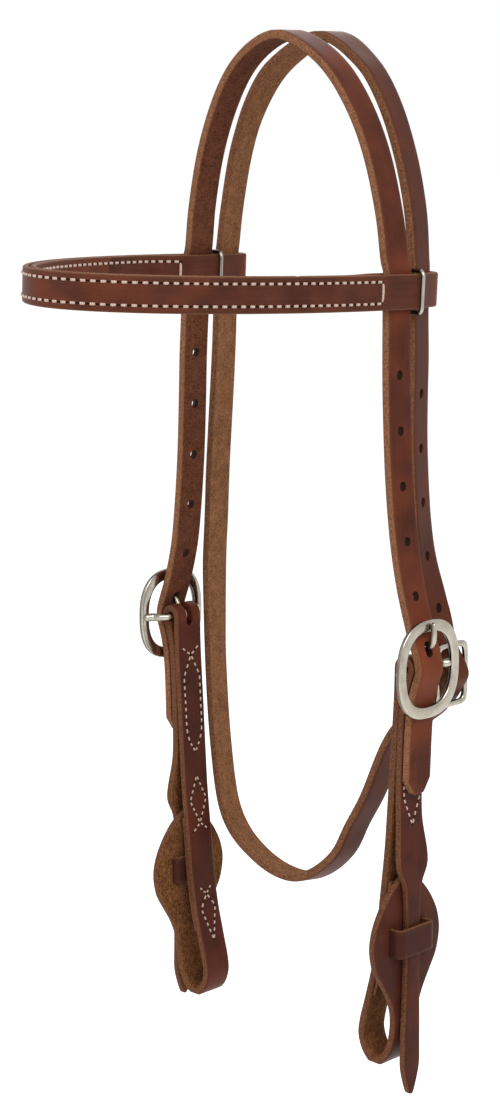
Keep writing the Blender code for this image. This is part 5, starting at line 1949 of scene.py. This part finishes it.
@dataclass
class Studio:
    """White room, soft lights, and the camera at the photo's angle."""

    floor_z: float = -0.60
    floor_size: float = 30.0
    camera_at: tuple[float, float, float] = (0.75636, -0.79497, -0.02848)
    azimuth: float = math.radians(45)
    pitch: float = math.radians(11.116)
    lens: float = 74.71
    sensor: float = 36.0
    fill_strength: float = 0.48
    camera_white: float = 1.0
    paper: float = 0.9
    floor_glow: float = 0.62
    aim: tuple[float, float, float] = (0.0, 0.0, -0.25)
    # Each soft box: its name, place, width and height, and power in watts.
    softboxes: tuple = (
        ("key_softbox", (1.1, -0.5, 0.75), (0.9, 0.9), 12.5),
        ("fill_softbox", (-0.6, -1.3, 0.3), (1.0, 1.4), 6.5),
        ("rim_softbox", (-0.7, 0.9, 0.6), (0.8, 0.8), 3.0),
    )

    @staticmethod
    def seen(nodes: Nodes) -> bpy.types.NodeSocket:
        """1 where the camera, a reflection or a transmission sees the white, else 0."""
        path = nodes.add("ShaderNodeLightPath").outputs
        seen = nodes.math("ADD", path["Is Camera Ray"], path["Is Glossy Ray"])
        seen = nodes.math("ADD", seen, path["Is Transmission Ray"])
        return nodes.math("MINIMUM", seen, 1.0)

    def world(self) -> None:
        """White to the camera and in reflections, and a softer white for the rest."""
        world = bpy.data.worlds.new("white_room")
        world.use_nodes = True
        nodes = Nodes(world.node_tree)
        strength = nodes.ranged(self.seen(nodes), 0.0, 1.0, (self.fill_strength, self.camera_white))
        back = nodes.add("ShaderNodeBackground", {"Color": (1, 1, 1, 1), "Strength": strength})
        nodes.add("ShaderNodeOutputWorld", {"Surface": back.outputs[0]})
        bpy.context.scene.world = world

    def floor(self) -> None:
        """A pale floor that keeps the headstall's shadow."""
        half = self.floor_size / 2
        corners = [(x * half, y * half, self.floor_z) for x, y in ((-1, -1), (1, -1), (1, 1), (-1, 1))]
        mesh = bpy.data.meshes.new("studio_floor")
        mesh.from_pydata(corners, [], [(0, 1, 2, 3)])
        floor = bpy.data.objects.new("studio_floor", mesh)
        bpy.context.scene.collection.objects.link(floor)
        material, nodes = blank_material("white_paper_sweep")
        pale = (self.paper, self.paper, self.paper, 1)
        paper = nodes.add("ShaderNodeBsdfDiffuse", {"Color": pale}).outputs[0]
        shine = {"Color": (1, 1, 1, 1), "Strength": self.floor_glow}
        glow = nodes.add("ShaderNodeEmission", shine).outputs[0]
        lit = nodes.add("ShaderNodeAddShader", {0: paper, 1: glow}).outputs[0]
        shown = nodes.add("ShaderNodeMixShader", {0: self.seen(nodes), 1: paper, 2: lit}).outputs[0]
        nodes.add("ShaderNodeOutputMaterial", {"Surface": shown})
        mesh.materials.append(material)

    def light(self, name: str, place: tuple, size: tuple[float, float], power: float) -> None:
        """A soft box aimed at the headstall.

        Args:
            name: Its name.
            place: Where it hangs.
            size: Its width and height.
            power: Its power in watts.
        """
        data = bpy.data.lights.new(name, "AREA")
        data.shape = "RECTANGLE"
        data.size, data.size_y = size
        data.energy = power
        lamp = bpy.data.objects.new(name, data)
        lamp.location = place
        lamp.rotation_euler = (Vector(self.aim) - Vector(place)).to_track_quat("-Z", "Y").to_euler()
        bpy.context.scene.collection.objects.link(lamp)

    def camera(self) -> None:
        """The camera, where the photo was taken from."""
        data = bpy.data.cameras.new("photo_camera")
        data.lens = self.lens
        data.sensor_width = self.sensor
        camera = bpy.data.objects.new("photo_camera", data)
        level, sine, cosine = math.cos(self.pitch), math.sin(self.azimuth), math.cos(self.azimuth)
        look = Vector((-sine * level, cosine * level, -math.sin(self.pitch)))
        camera.location = self.camera_at
        camera.rotation_euler = look.to_track_quat("-Z", "Y").to_euler()
        bpy.context.scene.collection.objects.link(camera)
        bpy.context.scene.camera = camera

    def build(self) -> None:
        """Set up the room."""
        bpy.context.scene.view_settings.view_transform = "Standard"
        self.world()
        self.floor()
        for softbox in self.softboxes:
            self.light(*softbox)
        self.camera()


def main() -> None:
    """Build the headstall, then the room round it."""
    logging.basicConfig(level=logging.INFO, format="%(name)s: %(message)s")
    shop = Workshop()
    head = Head()
    cheeks = {side: Cheek(head, side) for side in Side}
    crown = Crown(head, cheeks[Side.NEAR], cheeks[Side.FAR])
    throat = Throatlatch(head)
    crown.build(shop)
    throat.build(shop)
    Browband(head).build(shop)
    for side, cheek in cheeks.items():
        cheek.build(shop)
        cheek_buckle(head, crown, side).build(shop, (f"{side.hand}_buckle", f"{side.hand}_tongue"))
    throat_buckle(head, throat).build(shop, ("throat_buckle", "throat_tongue"))
    Studio().build()


if __name__ == "__main__":
    main()
